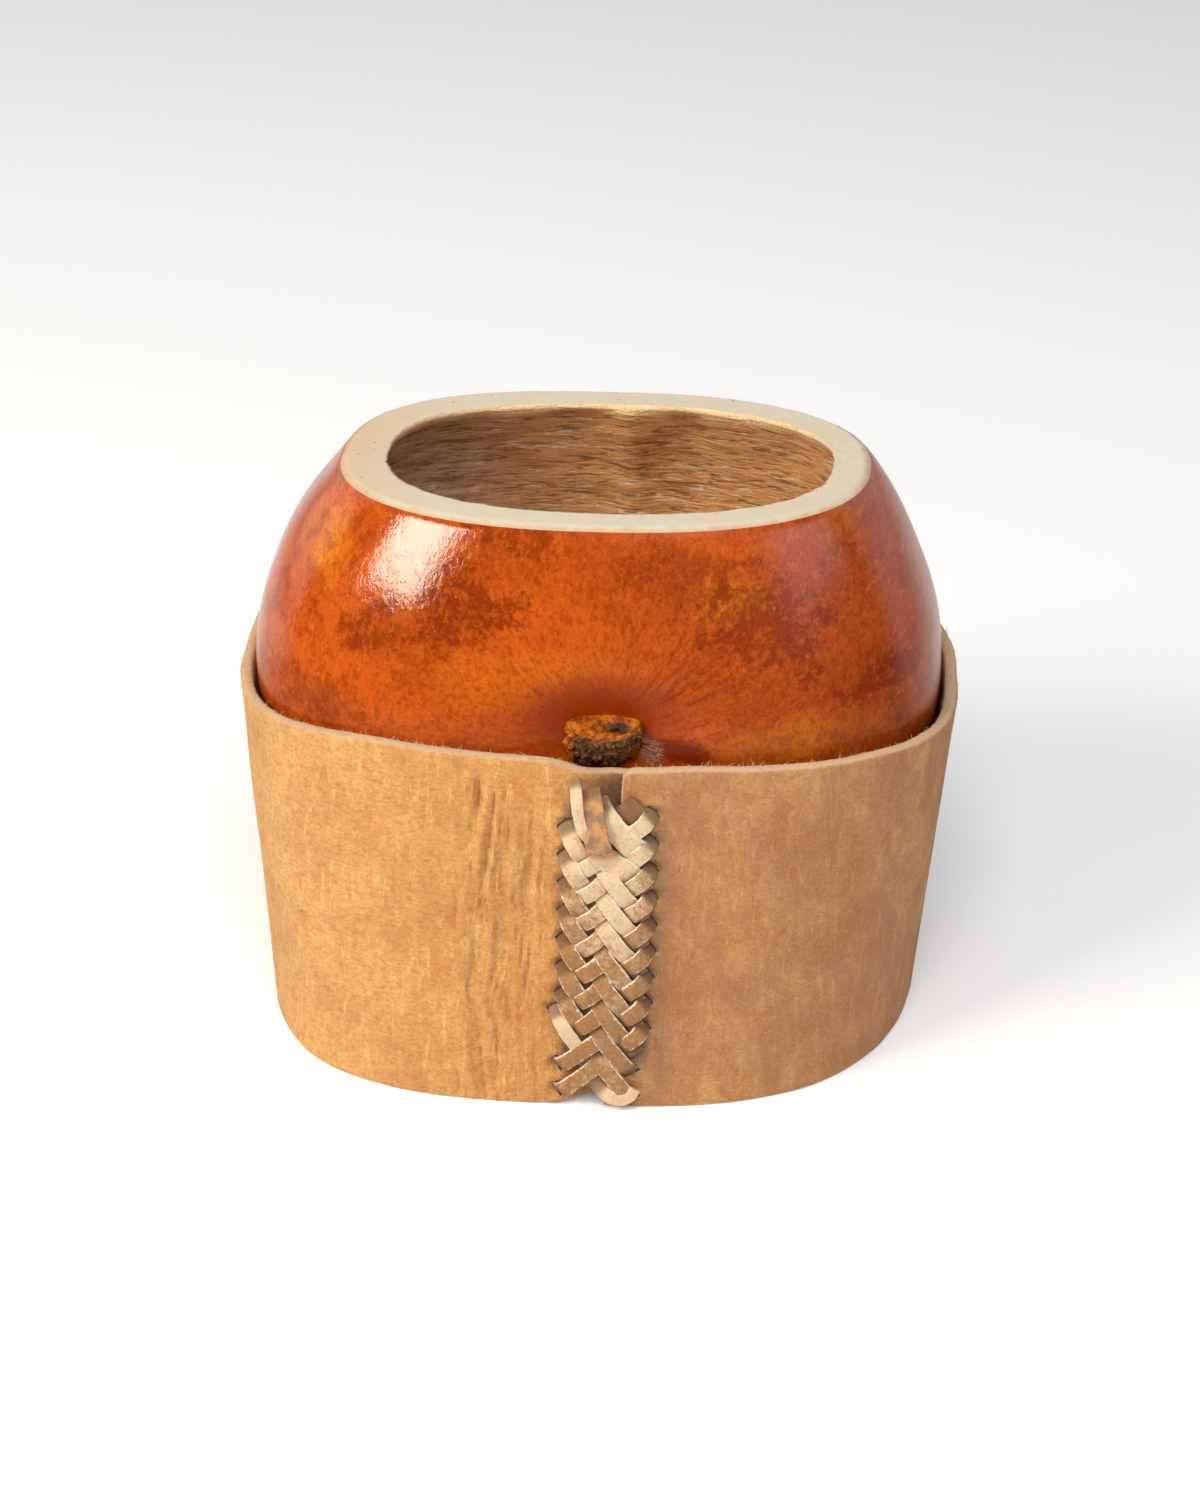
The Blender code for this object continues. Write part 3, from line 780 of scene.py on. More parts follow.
def suede_hide(settings):
    """Suede with a short matted nap, warm clouds, faint upright scuffs and pale cut edges, painted
    paler at the left and darker to the right, with painted shade under the lacing.
    """
    surface, tree, shader = new_surface(
        "suede_hide", Roughness=0.95, Specular_IOR_Level=0.15, Sheen_Weight=0.12, Sheen_Roughness=0.5
    )
    place = millimetres(tree)
    tan = settings.tan_colour
    brown = settings.brown_colour
    across = how_far_right(tree)
    # Paler at the far left and darker right of the seam: painted light and shade of the key light from
    # the left.
    colour = blend_colours(tree, stretch_range(tree, across, -50.0, -5.0), tan, (0.70, 0.335, 0.10))
    right = stretch_range(tree, across, -8.0, 14.0)
    colour = blend_colours(tree, right, colour, settings.shaded_right_colour)
    colour = tint(tree, colour, clouds(tree, place, 11.0, 0.5, 0.16), 0.4, brown)
    yellow = times(tree, clouds(tree, scaled(tree, place, (1.0, 1.0, 0.6)), 7.0, 0.4, 0.2), 0.45)
    colour = blend_colours(tree, yellow, colour, settings.gold_colour)
    blots = noise_value(tree, place, 0.42, 4.0, 0.72, 0.4)
    blots = stretch_range(tree, blots, 0.44, 0.7)
    blots = times(tree, blots, stretch_range(tree, across, -8.0, 8.0, 0.35, 0.6))
    colour = blend_colours(tree, blots, colour, brown)
    mottle = noise_value(tree, scaled(tree, place, (1.0, 1.0, 1.6)), 1.3, 3.0, 0.8, 0.3)
    colour = tint(tree, colour, stretch_range(tree, mottle, 0.42, 0.74), 0.55, brown)
    upright = millimetres(tree, (0.0, 0.0, 0.0), (1.0, 1.0, 0.16))
    scuffs = stretch_range(tree, noise_value(tree, upright, 0.75, 4.0, 0.78, 0.4), 0.5, 0.7)
    scuffs = times(tree, scuffs, stretch_range(tree, across, -4.0, 12.0, 0.75, 0.25))
    colour = blend_colours(tree, scuffs, colour, settings.gold_colour)
    weave = millimetres(tree, (0.0, 0.0, 0.0), (0.3, 0.3, 1.0))
    weave = stretch_range(tree, noise_value(tree, weave, 2.2, 2.0, 0.8), 0.46, 0.68)
    colour = tint(tree, colour, weave, 0.42, brown)
    height, tips = grain(tree, place, 0.45, 0.6)
    colour = tint(tree, colour, tips, 0.35, settings.gold_colour)
    cut = attribute(tree, "cut_edge")
    colour = tint(tree, colour, cut, 0.85, settings.edge_colour)
    # Painted shade between the strands under the lacing, in a crease right of it and in the tucked
    # seam.
    dusk = attribute(tree, "dusk")
    colour = blend_colours(tree, dusk, colour, (0.30, 0.17, 0.12))
    # Painted shade in dark spots round the slits and in the tucked seam, and one dark spot low at the
    # left.
    stain = times(tree, attribute(tree, "stain"), stretch_range(tree, mottle, 0.3, 0.55))
    colour = blend_colours(tree, stain, colour, (0.16, 0.07, 0.03))
    tree.links.new(colour, shader.inputs["Base Color"])
    bumps = calculate(tree, "ADD", height, times(tree, scuffs, 0.5))
    bumps = calculate(tree, "SUBTRACT", bumps, times(tree, mottle, 0.8))
    add_bump(tree, shader, bumps, 0.4, 0.8)
    return surface


# Material of the thong


def rawhide_thong(settings):
    """Rawhide, pale where clean and mottled where worn, with whitish frayed edges."""
    surface, tree, shader = new_surface(
        "rawhide_thong", Roughness=0.75, Specular_IOR_Level=0.3, Sheen_Weight=0.1
    )
    place = millimetres(tree)
    worn = attribute(tree, "worn")
    worn = calculate(tree, "ADD", worn, wander_value(tree, 1.2, place, 0.6, 4.0, 0.7))
    worn = stretch_range(tree, worn, 0.1, 0.75)
    colour = blend_colours(tree, worn, settings.pale_colour, settings.worn_colour)
    ashen = stretch_range(tree, noise_value(tree, place, 0.35, 3.0, 0.6), 0.5, 0.68)
    colour = tint(tree, colour, times(tree, ashen, worn), 0.5, (0.38, 0.29, 0.22))
    mottle = stretch_range(tree, noise_value(tree, place, 1.9, 3.0, 0.8), 0.48, 0.62)
    mottle = times(tree, times(tree, mottle, calculate(tree, "ADD", worn, 0.25)), 0.75)
    colour = blend_colours(tree, mottle, colour, (0.26, 0.14, 0.07))
    edge = attribute(tree, "strand_edge")
    fibres = wander_value(tree, 1.5, place, 1.4, 3.0, 0.75)
    frayed = stretch_range(tree, calculate(tree, "ADD", edge, fibres), 0.72, 0.95)
    colour = tint(tree, colour, frayed, 0.85, (0.88, 0.76, 0.60))
    flesh = attribute(tree, "flesh")
    patches = stretch_range(tree, noise_value(tree, place, 0.5, 5.0, 0.75), 0.42, 0.58)
    meat = blend_colours(tree, patches, (0.58, 0.28, 0.10), (0.30, 0.16, 0.10))
    colour = tint(tree, colour, flesh, 0.95, meat)
    # Painted shade where a strand lies low, under the others and where it dives into the slits.
    soil = attribute(tree, "soil")
    colour = blend_colours(tree, soil, colour, (0.16, 0.08, 0.035))
    tree.links.new(colour, shader.inputs["Base Color"])
    height, _ = grain(tree, place, 0.6)
    add_bump(tree, shader, height, 0.3, 0.8)
    return surface


# Shell


RIM_START = 104
RIM_ROWS = 14
RIM_END = RIM_START + RIM_ROWS
SHELL_ROWS = RIM_END + 96


def dimple(x, z, depth):
    away = ((x - STEM_X) ** 2 + (z - STEM_Z) ** 2) / DIMPLE_SPREAD ** 2
    return depth * math.exp(-away)


def shell_point(angle, rise, inside, grow=0.0):
    """Point of the outer or inner surface, at an angle round it and a rise from its middle."""
    wall_edge = WALL_AT_EDGE if inside else 0.0
    wall_face = WALL_AT_FACE if inside else 0.0
    tall = (SHELL_RISE_TO_TOP if rise > 0.0 else SHELL_DROP_TO_BOTTOM) - wall_edge
    reach = min(abs(rise) / tall, 1.0)
    taper = 1.0 - TOP_TAPER * min(max(rise / RIM_RISE, 0.0), 1.1) ** TAPER_CURVE
    half_width = SHELL_HALF_WIDTH - wall_edge
    half_width *= (1.0 - reach ** WIDTH_POWER) ** (1.0 / WIDTH_POWER)
    half_depth = SHELL_HALF_DEPTH * taper - wall_face
    depth_power = DEPTH_POWER if rise > 0.0 else DEPTH_POWER_BELOW
    half_depth *= (1.0 - reach ** depth_power) ** (1.0 / depth_power)
    cosine = math.cos(angle)
    sine = math.sin(angle)
    middle_power = POWER_FRONT if sine < 0.0 else POWER_BACK
    rim_powers = RIM_POWERS_FRONT if sine < 0.0 else RIM_POWERS_BACK
    rim_power = rim_powers[1 if cosine < 0.0 else 0]
    power = mix(middle_power, rim_power, smooth(rise / RIM_RISE))
    radius = (abs(cosine) ** power + abs(sine) ** power) ** (-1.0 / power)
    x = half_width * radius * cosine
    y = half_depth * radius * sine
    upward = smooth(2.0 * rise / RIM_RISE - 1.0)
    middle_x = mix(SHELL_X, RIM_X, upward)
    middle_y = 0.0
    if inside:
        middle_x += INSIDE_X * upward
        middle_y += INSIDE_Y * upward
    z = SHELL_MIDDLE_Z + rise + upward * RIM_TILT * x
    if sine < 0.0:
        y += dimple(middle_x + x, z, DIMPLE_INSIDE_DEPTH if inside else DIMPLE_DEPTH)
    stretch = 1.0 + grow / max(math.hypot(x, y), 1.0)
    return Vector((middle_x + x * stretch, middle_y + y * stretch, z))


def ring_rise(share, top_rise, inside):
    """Rise of a ring at a share of the way from the bottom pole to top_rise."""
    wall = WALL_AT_EDGE if inside else 0.0
    tall = SHELL_RISE_TO_TOP - wall
    last = 0.5 * math.pi + math.asin(top_rise / tall)
    height = -math.cos(last * share)
    return height * (tall if height > 0.0 else SHELL_DROP_TO_BOTTOM - wall)


def ragged_edge(angle):
    """How far the inner edge of the rim wanders in and out."""
    coarse = noise.noise(Vector((math.cos(angle) * 9.0, math.sin(angle) * 9.0, 3.0)))
    fine = noise.noise(Vector((math.cos(angle) * 34.0, math.sin(angle) * 34.0, 7.0)))
    return 0.35 * coarse + 0.22 * fine


def shell_profile(columns):
    """Function of column and row that rolls a sheet into the whole shell."""

    def shape(column, row):
        angle = 2.0 * math.pi * column / columns
        if row <= RIM_START:
            rise = ring_rise(row / RIM_START, RIM_RISE - RIM_ROUNDING, False)
            return shell_point(angle, rise, False)
        if row <= RIM_END:
            outer = shell_point(angle, RIM_RISE, False, -RIM_ROUNDING)
            inner = shell_point(angle, RIM_RISE, True, LIP_WIDTH + ragged_edge(angle))
            return outer.lerp(inner, (row - RIM_START - 1) / (RIM_ROWS - 1))
        share = (row - RIM_END) / (SHELL_ROWS - RIM_END)
        start = RIM_RISE - LIP_DROP * 0.35
        rise = ring_rise(1.0 - share, start, True)
        lip = 1.0 - smooth((RIM_RISE - rise) / (1.6 * LIP_DROP))
        return shell_point(angle, rise, True, lip * (LIP_WIDTH + ragged_edge(angle)))

    return shape


def shell_relief(place, settings):
    """Slow swells of the outside, and the creases that run out from the stem."""
    away = math.hypot(place.x - STEM_X, place.z - STEM_Z)
    turn = math.atan2(place.x - STEM_X, place.z - STEM_Z)
    height = settings.swell / MM * cloud(place, 24.0)
    if place.y < 0.0:
        fade = smooth((away - 5.0) / 4.0) * (1.0 - smooth((away - 12.0) / 20.0))
        side = 0.6 + 0.4 * math.sin(turn)
        creases = noise.fractal(Vector((turn * 3.2, away * 0.03, 1.0)), 0.8, 2.1, 3)
        height += 0.55 * fade * side * creases
    return height


def inside_relief(place, below):
    """Ribs, hollows and level fibres of the bare inside."""
    deep = smooth(below / 3.0)
    ridge = 0.0
    if place.y > 0.0:
        ridge = 0.8 * bump((place.x - 2.0) / 2.6) - 0.5 * bump((place.x + 6.0) / 5.0)
        ridge -= 0.5 * bump((place.x - 11.0) / 5.0)
    lumps = 0.4 * cloud((place.x, place.y, place.z * 0.5), 8.0)
    threads = 0.25 * noise.fractal(Vector((place.x / 9.0, place.y / 9.0, place.z / 1.9)), 0.7, 2.0, 3)
    return deep * (ridge + lumps + threads)


def make_shell(settings):
    columns = settings.columns
    piece = shaped_sheet("gourd_shell", columns, SHELL_ROWS, shell_profile(columns))
    mesh = piece.data
    rows = [index // (columns + 1) for index in range(len(mesh.vertices))]
    rim_share = [(row - RIM_START) / RIM_ROWS for row in rows]
    keep_value(piece, "rim_share", [min(max(share, 0.0), 1.0) for share in rim_share])
    regions = [0.0 if row < RIM_START else 1.0 if row <= RIM_END else 2.0 for row in rows]
    keep_value(piece, "region", regions)
    below = [max(RIM_Z + RIM_TILT * v.co.x / MM - v.co.z / MM, 0.0) for v in mesh.vertices]
    keep_value(piece, "below_rim", below)
    for surface in (lacquered_shell(settings), cut_rim(settings), fibrous_inside(settings)):
        mesh.materials.append(surface)
    for polygon in mesh.polygons:
        row = min(rows[index] for index in polygon.vertices)
        polygon.material_index = 0 if row < RIM_START else 1 if row < RIM_END else 2
    close_seams(piece)
    region = values_of(piece, "region")
    depth = values_of(piece, "below_rim")

    def relief(index, place):
        if region[index] < 0.5:
            return shell_relief(place, settings) * smooth(depth[index] / 4.0)
        if region[index] < 1.5:
            return 0.05 * cloud(place, 2.0) - 0.03
        return inside_relief(place, depth[index])

    raise_surface(piece, relief)
    make_active(piece)
    bpy.ops.object.shade_smooth()
    return piece


# Stub of the stem: middle x, y and z, half width and half depth of each ring


STUB_RINGS = (
    (2.4, -31.8, 54.6, 7.0, 3.6),
    (2.8, -32.6, 57.0, 6.6, 3.9),
    (3.2, -33.6, 59.2, 6.0, 4.0),
    (3.5, -34.5, 60.8, 5.8, 4.1),
    (3.7, -34.9, 61.6, 5.5, 3.9),
    (3.7, -35.0, 62.0, 5.0, 3.3),
    (5.6, -35.6, 62.0, 2.4, 1.3),
    (5.7, -35.5, 61.1, 1.8, 0.9),
    (5.7, -35.4, 60.5, 0.9, 0.4),
)
STUB_SLOPE = 0.16


def place_ring(piece, ring, sides):
    """Puts the ring of corners added last where one row of STUB_RINGS says."""
    x, y, z, half_width, half_depth = ring
    corners = [vertex for vertex in piece.data.vertices if vertex.select]
    for step, vertex in enumerate(corners):
        angle = 2.0 * math.pi * step / sides
        back = half_depth * math.sin(angle)
        vertex.co = in_frame((x + half_width * math.cos(angle), y + back, z + STUB_SLOPE * back))


def make_stem_stub():
    """A circle extruded ring by ring up the stub, over its end and down into its pit."""
    sides = 28
    deselect_all()
    bpy.ops.mesh.primitive_circle_add(vertices=sides, radius=0.005, fill_type="NGON")
    piece = bpy.context.object
    piece.name = "stem_stub"
    piece.data.name = "stem_stub"
    for vertex in piece.data.vertices:
        vertex.select = True
    place_ring(piece, STUB_RINGS[0], sides)
    for ring in STUB_RINGS[1:]:
        make_active(piece)
        bpy.ops.object.mode_set(mode="EDIT")
        bpy.ops.mesh.extrude_region_move()
        bpy.ops.object.mode_set(mode="OBJECT")
        place_ring(piece, ring, sides)
    edit_all(piece)
    bpy.ops.mesh.normals_make_consistent(inside=False)
    leave_edit()
    subdivision = piece.modifiers.new("rounding", "SUBSURF")
    subdivision.levels = 3
    subdivision.render_levels = 3
    apply_modifiers(piece)
    mark_stub(piece)
    raise_surface(piece, stub_relief)
    make_active(piece)
    bpy.ops.object.shade_smooth()
    piece.data.materials.append(corky_stem())
    return piece


def mark_stub(piece):
    """Keeps where the stub is lacquered and where its pit is, for the material."""
    lacquer = []
    pit = []
    for vertex in piece.data.vertices:
        place = from_frame(vertex.co)
        top = smooth((vertex.normal.z - 0.35) / 0.3)
        flake = 0.9 * bump((place.x - 7.9) / 1.4) * bump((place.z - 57.4) / 2.2)
        film = 0.75 * smooth((0.4 - place.x) / 2.4)
        in_pit = smooth(1.35 - math.hypot((place.x - 5.6) / 2.3, (place.y + 35.5) / 1.3))
        lacquer.append(max(top, flake, film))
        pit.append(in_pit * (place.z > 60.2))
    keep_value(piece, "lacquer", lacquer)
    keep_value(piece, "pit", pit)


def stub_relief(index, place):
    """Crumbling cork: rough low down, smoother over the lacquered end."""
    rough = 1.0 - 0.75 * smooth((place.z - 60.9) / 0.8)
    crumbs = 0.8 * noise.fractal(Vector(place) / 1.3, 0.6, 2.2, 4)
    return rough * crumbs - 0.1


# Ring of hide


def outline_table(oval):
    """Length so far, x and y of points round an outline, from its front middle towards +X."""
    angle = np.linspace(-0.5 * math.pi, 1.5 * math.pi, 1441)
    cosine = np.cos(angle)
    sine = np.sin(angle)
    front = np.where(cosine > 0.0, *oval["front_powers"])
    back = np.where(cosine > 0.0, *oval["back_powers"])
    power = 2.0 / np.where(sine < 0.0, front, back)
    x = oval["half_width"] * np.copysign(np.abs(cosine) ** power, cosine)
    y = oval["half_depth"] * np.copysign(np.abs(sine) ** power, sine)
    y = y + oval["turn"] * x
    length = np.concatenate(([0.0], np.cumsum(np.hypot(np.diff(x), np.diff(y)))))
    return length, x + oval["shift_x"], y


HIDE_TABLES = (outline_table(HIDE_BOTTOM), outline_table(HIDE_TOP))
HIDE_LENGTH = 0.5 * (HIDE_TABLES[0][0][-1] + HIDE_TABLES[1][0][-1])


def hide_outside(distance, z):
    """Point on the outer face of the ring, a distance round from its front middle."""
    share = (distance / HIDE_LENGTH) % 1.0
    ends = []
    for length, x, y in HIDE_TABLES:
        wanted = share * length[-1]
        ends.append((np.interp(wanted, length, x), np.interp(wanted, length, y)))
    up = z / HIDE_HEIGHT
    (low_x, low_y), (high_x, high_y) = ends
    return Vector((mix(low_x, high_x, up), mix(low_y, high_y, up), z))


def hide_frame(distance, z):
    """Point on the outer face of the ring with its outward normal."""
    round_ring = hide_outside(distance + 0.8, z) - hide_outside(distance - 0.8, z)
    upward = hide_outside(distance, z + 1.0) - hide_outside(distance, z - 1.0)
    return hide_outside(distance, z), round_ring.cross(upward).normalized()


def hide_stations():
    """Distances past the seam: close together where the lacing and the seam show."""
    whole = HIDE_LENGTH + SEAM_OVERLAP
    spans = (
        (0.0, 13.0, 0.42),
        (13.0, whole - 52.0, 1.7),
        (whole - 52.0, whole - 26.0, 0.8),
        (whole - 26.0, whole, 0.42),
    )
    stations = [0.0]
    for start, end, step in spans:
        count = max(round((end - start) / step), 1)
        stations += [mix(start, end, (index + 1) / count) for index in range(count)]
    return stations


NOSE_HEIGHT = 0.9
NOSE_DEPTH = 1.1
HIDE_ROUNDING = 0.55
OUTER_ROWS = 106
INNER_ROWS = 22


def hide_section():
    """Pairs of height and depth round the cut through the hide, and the side each is on."""
    section = []
    for row in range(OUTER_ROWS + 1):
        share = row / OUTER_ROWS
        section.append((mix(HIDE_ROUNDING, HIDE_HEIGHT - NOSE_HEIGHT, share), 0.0, 0.0))
    for turn, side in ((30.0, 0.0), (55.0, 1.0), (75.0, 1.0), (90.0, 1.0)):
        across = NOSE_DEPTH * (1.0 - math.cos(math.radians(turn)))
        down = NOSE_HEIGHT * (1.0 - math.sin(math.radians(turn)))
        section.append((HIDE_HEIGHT - down, across, side))
    section.append((HIDE_HEIGHT - 0.06, 1.55, 1.0))
    section.append((HIDE_HEIGHT - 0.25, 1.9, 1.0))
    section.append((HIDE_HEIGHT - HIDE_ROUNDING, HIDE_THICKNESS, 2.0))
    for row in range(1, INNER_ROWS):
        share = row / INNER_ROWS
        section.append((mix(HIDE_HEIGHT - HIDE_ROUNDING, 0.2, share), HIDE_THICKNESS, 2.0))
    section.append((0.1, HIDE_THICKNESS - 0.2, 2.0))
    section.append((0.0, 0.5 * HIDE_THICKNESS, 1.0))
    section.append((0.0, HIDE_ROUNDING, 1.0))
    section.append((0.3 * HIDE_ROUNDING, 0.3 * HIDE_ROUNDING, 1.0))
    section.append(section[0])
    return section


def strip_raise(distance, share):
    """How far the strip is raised at a distance past the seam and a share of its height.

    Its top edge dips round the sides and the back, and the strip narrows towards its tucked end.
    """
    front = min(distance, HIDE_LENGTH - distance)
    dip = mix(DIP_RIGHT, DIP_LEFT, smooth((distance - 120.0) / 80.0)) * smooth((front - 36.0) / 36.0)
    end = smooth((distance - HIDE_LENGTH + END_LENGTH) / END_LENGTH)
    start = START_DROP * smooth(1.0 - distance / END_LENGTH)
    return mix(END_LIFT * end, -dip - END_DROP * end - start, share)


def hide_shape(stations, section):
    """Function of column and row that bends a sheet into the overlapping ring of hide."""
    middle = 0.5 * HIDE_THICKNESS

    def shape(column, row):
        distance = stations[column]
        z, depth, _ = section[row]
        end = min(distance, stations[-1] - distance)
        pinch = 1.0 - 0.35 * (1.0 - smooth(end / 0.7))
        depth = middle + (depth - middle) * pinch
        past_end = distance - HIDE_LENGTH
        tuck = TUCK_DEPTH * smooth((past_end + TUCK_LENGTH) / (TUCK_LENGTH - 0.8))
        seam = mix(SEAM_AT_BOTTOM, SEAM_AT_TOP, z / HIDE_HEIGHT)
        here, normal = hide_frame(seam + distance, z)
        flat_normal = Vector((normal.x, normal.y, 0.0)).normalized()
        point = here - flat_normal * (depth + tuck)
        corner = 1.3 * max(1.0 - distance / 1.6, 0.0) ** 2 * smooth((z - 53.0) / 5.0)
        return Vector((point.x, point.y, z + strip_raise(distance, z / HIDE_HEIGHT) - corner))

    return shape


def hide_relief(slits, settings):
    """Function of side, distance and place that gives the height of the hide's relief."""
    wrinkle = settings.wrinkle_depth / MM

    def relief(side, distance, place):
        height = 0.18 * cloud((place.x, place.y, place.z * 0.4), 9.0)
        if side > 0.5:
            return 0.5 * height + 0.05 * cloud(place, 0.9)
        front = place.y < -30.0
        if front and -34.0 < place.x < 0.0:
            wander = place.x + 2.2 * cloud((place.x * 0.3, 0.0, place.z), 16.0)
            lines = noise.fractal(Vector((wander / 1.9, 0.0, place.z / 22.0)), 0.8, 2.0, 4)
            strength = bump((place.x + 13.0) / 10.0) * smooth((57.0 - place.z) / 5.0)
            height += wrinkle * 1.6 * strength * min(lines, 0.3)
        if front and -8.0 < place.x < 17.0:
            for x, z, _ in slits:
                away = math.hypot((place.x - x) / 1.25, place.z - z)
                if away < 4.0:
                    height += 0.32 * bump((away - 1.7) / 0.8) - 0.7 * bump(away / 1.1)
        if front and distance > HIDE_LENGTH * 0.5 and -3.0 < place.x < 7.5:
            hollow = bump((place.x - 4.6) / 2.6) * bump((place.z - 50.0) / 3.6)
            height -= 1.0 * hollow
        return height

    return relief


SLIT_LENGTH = 2.8
SLIT_WIDTH = 1.3
SLIT_TOOL_DEPTH = 9.0


def cut_slits(piece, slits):
    """Cuts the slits of the thong with one tool made of a small block at each of them."""
    blocks = []
    for x, z, turn in slits:
        here, normal = hide_frame(x, z)
        deselect_all()
        bpy.ops.mesh.primitive_cube_add(size=1.0, location=in_frame(here - normal * 2.0))
        block = bpy.context.object
        block.scale = (SLIT_LENGTH * MM, SLIT_WIDTH * MM, SLIT_TOOL_DEPTH * MM)
        facing = normal.to_track_quat("Z", "X")
        level = facing @ Vector((0.0, 1.0, 0.0))
        lean = math.atan2(level.z, math.hypot(level.x, level.y))
        block.rotation_mode = "QUATERNION"
        block.rotation_quaternion = facing @ Quaternion((0.0, 0.0, 1.0), lean - 0.5 * math.pi + turn)
        blocks.append(block)
    tool = join(blocks, "slit_tool")
    bpy.ops.object.transform_apply(location=True, rotation=True, scale=True)
    cut = piece.modifiers.new("slits", "BOOLEAN")
    cut.object = tool
    cut.solver = "EXACT"
    apply_modifiers(piece)
    bpy.data.objects.remove(tool, do_unlink=True)


def make_hide(settings):
    stations = hide_stations()
    section = hide_section()
    columns = len(stations) - 1
    rows = len(section) - 1
    piece = shaped_sheet("hide_ring", columns, rows, hide_shape(stations, section))
    count = len(piece.data.vertices)
    sides = [section[index // (columns + 1)][2] for index in range(count)]
    keep_value(piece, "side", sides)
    keep_value(piece, "distance", [stations[index % (columns + 1)] for index in range(count)])
    close_seams(piece)
    edit_all(piece)
    bpy.ops.mesh.fill_holes(sides=0)
    leave_edit()
    sides = values_of(piece, "side")
    distances = values_of(piece, "distance")
    slits = thong_slits()
    relief = hide_relief(slits, settings)
    raise_surface(piece, lambda index, place: relief(sides[index], distances[index], place))
    cut_slits(piece, slits)
    mark_hide(piece, slits)
    shade_by_angle(piece, 50.0)
    piece.data.materials.append(suede_hide(settings))
    return piece


def mark_hide(piece, slits):
    """Keeps where the hide is cut, where it gets painted shade, and where it gets painted shade round
    the slits and a dark spot, for the material.
    """
    sides = values_of(piece, "side")
    distances = values_of(piece, "distance")
    cut_edge = []
    dusk = []
    stain = []
    for vertex, side, distance in zip(piece.data.vertices, sides, distances):
        place = from_frame(vertex.co)
        at_end = distance < 0.3 or distance > HIDE_LENGTH + SEAM_OVERLAP - 0.3
        cut_edge.append(1.0 if side == 1.0 or at_end else 0.0)
        marks = (0.0, 0.0)
        if place.y < -30.0 and side < 0.5:
            marks = front_marks(place, distance, slits)
        dusk.append(marks[0])
        stain.append(marks[1])
    keep_value(piece, "cut_edge", cut_edge)
    keep_value(piece, "dusk", dusk)
    keep_value(piece, "stain", stain)


def front_marks(place, distance, slits):
    """How much painted shade the front gets under the lacing, in a crease and in the seam, and round
    the slits.
    """
    wander = place.x + 0.8 * cloud((0.0, 3.0, place.z), 6.0)
    # Painted shade in a crease right of the lacing, between the strands under it, and in the tucked
    # seam.
    crease = 0.35 * bump((wander - 13.6) / 1.1) * smooth((54.0 - place.z) / 6.0)
    under = smooth((wander + 2.4) / 1.2) * smooth((12.2 - wander) / 1.2)
    under *= smooth((place.z - 6.0) / 3.0) * smooth((53.0 - place.z) / 3.0)
    tucked = 0.85 * bump((place.x - 6.4) / 1.6) * smooth((place.z - 43.0) / 6.0)
    if distance < HIDE_LENGTH * 0.5:
        tucked = 0.0
    # Dark spots round the slits and in the tucked seam are painted shade; one more dark spot sits low
    # at the left.
    spots = [0.8 * bump(math.hypot(place.x - x, place.z - z) / 1.05) for x, z, _ in slits]
    spots.append(0.85 * tucked)
    spots.append(0.8 * bump(math.hypot(place.x + 43.0, place.z - 25.0) / 0.7))
    return max(crease, 0.8 * under, tucked), max(spots)


FUZZ_COUNT = 1800
HAIR_SIDES = 3


def add_hair(corners, faces, root, way, bend, length):
    """Adds a thin tapering tube that leaves its root one way and bends another way."""
    first = len(corners)
    side = way.orthogonal().normalized()
    other = way.cross(side)
    for share, radius in ((0.0, 0.045), (0.5, 0.035), (1.0, 0.012)):
        centre = root + way * (length * share) + bend * (length * share * share)
        for step in range(HAIR_SIDES):
            angle = 2.0 * math.pi * step / HAIR_SIDES
            corner = centre + side * (radius * math.cos(angle)) + other * (radius * math.sin(angle))
            corners.append(in_frame(corner))
    for ring in (0, HAIR_SIDES):
        for step in range(HAIR_SIDES):
            near = first + ring + step
            far = first + ring + (step + 1) % HAIR_SIDES
            faces.append((near, far, far + HAIR_SIDES, near + HAIR_SIDES))
    faces.append(tuple(first + 2 * HAIR_SIDES + step for step in range(HAIR_SIDES)))
    faces.append(tuple(first + step for step in reversed(range(HAIR_SIDES))))


def make_fuzz(settings):
    """Short pale hairs that stand up from the cut top edge of the hide."""
    draw = random.Random(5)
    corners = []
    faces = []
    for _ in range(FUZZ_COUNT):
        distance = draw.uniform(1.8, HIDE_LENGTH - TUCK_LENGTH)
        here, normal = hide_frame(SEAM_AT_TOP + distance, HIDE_HEIGHT)
        flat_normal = Vector((normal.x, normal.y, 0.0)).normalized()
        root = here - flat_normal * draw.uniform(0.2, 1.9)
        root.z += strip_raise(distance, 1.0) - 0.2
        onward = flat_normal.cross(Vector((0.0, 0.0, 1.0)))
        way = flat_normal * draw.uniform(-0.5, 1.0) + onward * draw.uniform(-1.0, 1.0)
        way = (way + Vector((0.0, 0.0, draw.uniform(0.3, 1.0)))).normalized()
        bend = Vector([draw.uniform(-0.5, 0.5) for _ in range(3)])
        add_hair(corners, faces, root, way, bend, draw.uniform(0.35, 0.95))
    mesh = bpy.data.meshes.new("hide_fuzz")
    mesh.from_pydata(corners, [], faces)
    piece = bpy.data.objects.new("hide_fuzz", mesh)
    bpy.context.collection.objects.link(piece)
    surface, _, shader = new_surface("hide_hair", Roughness=0.9, Specular_IOR_Level=0.2)
    shader.inputs["Base Color"].default_value = (*settings.edge_colour, 1.0)
    mesh.materials.append(surface)
    return piece


# Lacing: falling strands run down to the right, rising strands run up to the right


def falling_z(strand, x):
    return FALL_FIRST_Z - FALL_PITCH * strand - along(LACING_X, FALL_DROP, x)


def rising_z(strand, x):
    return RISE_FIRST_Z - RISE_PITCH * strand + along(LACING_X, RISE_CLIMB, x)


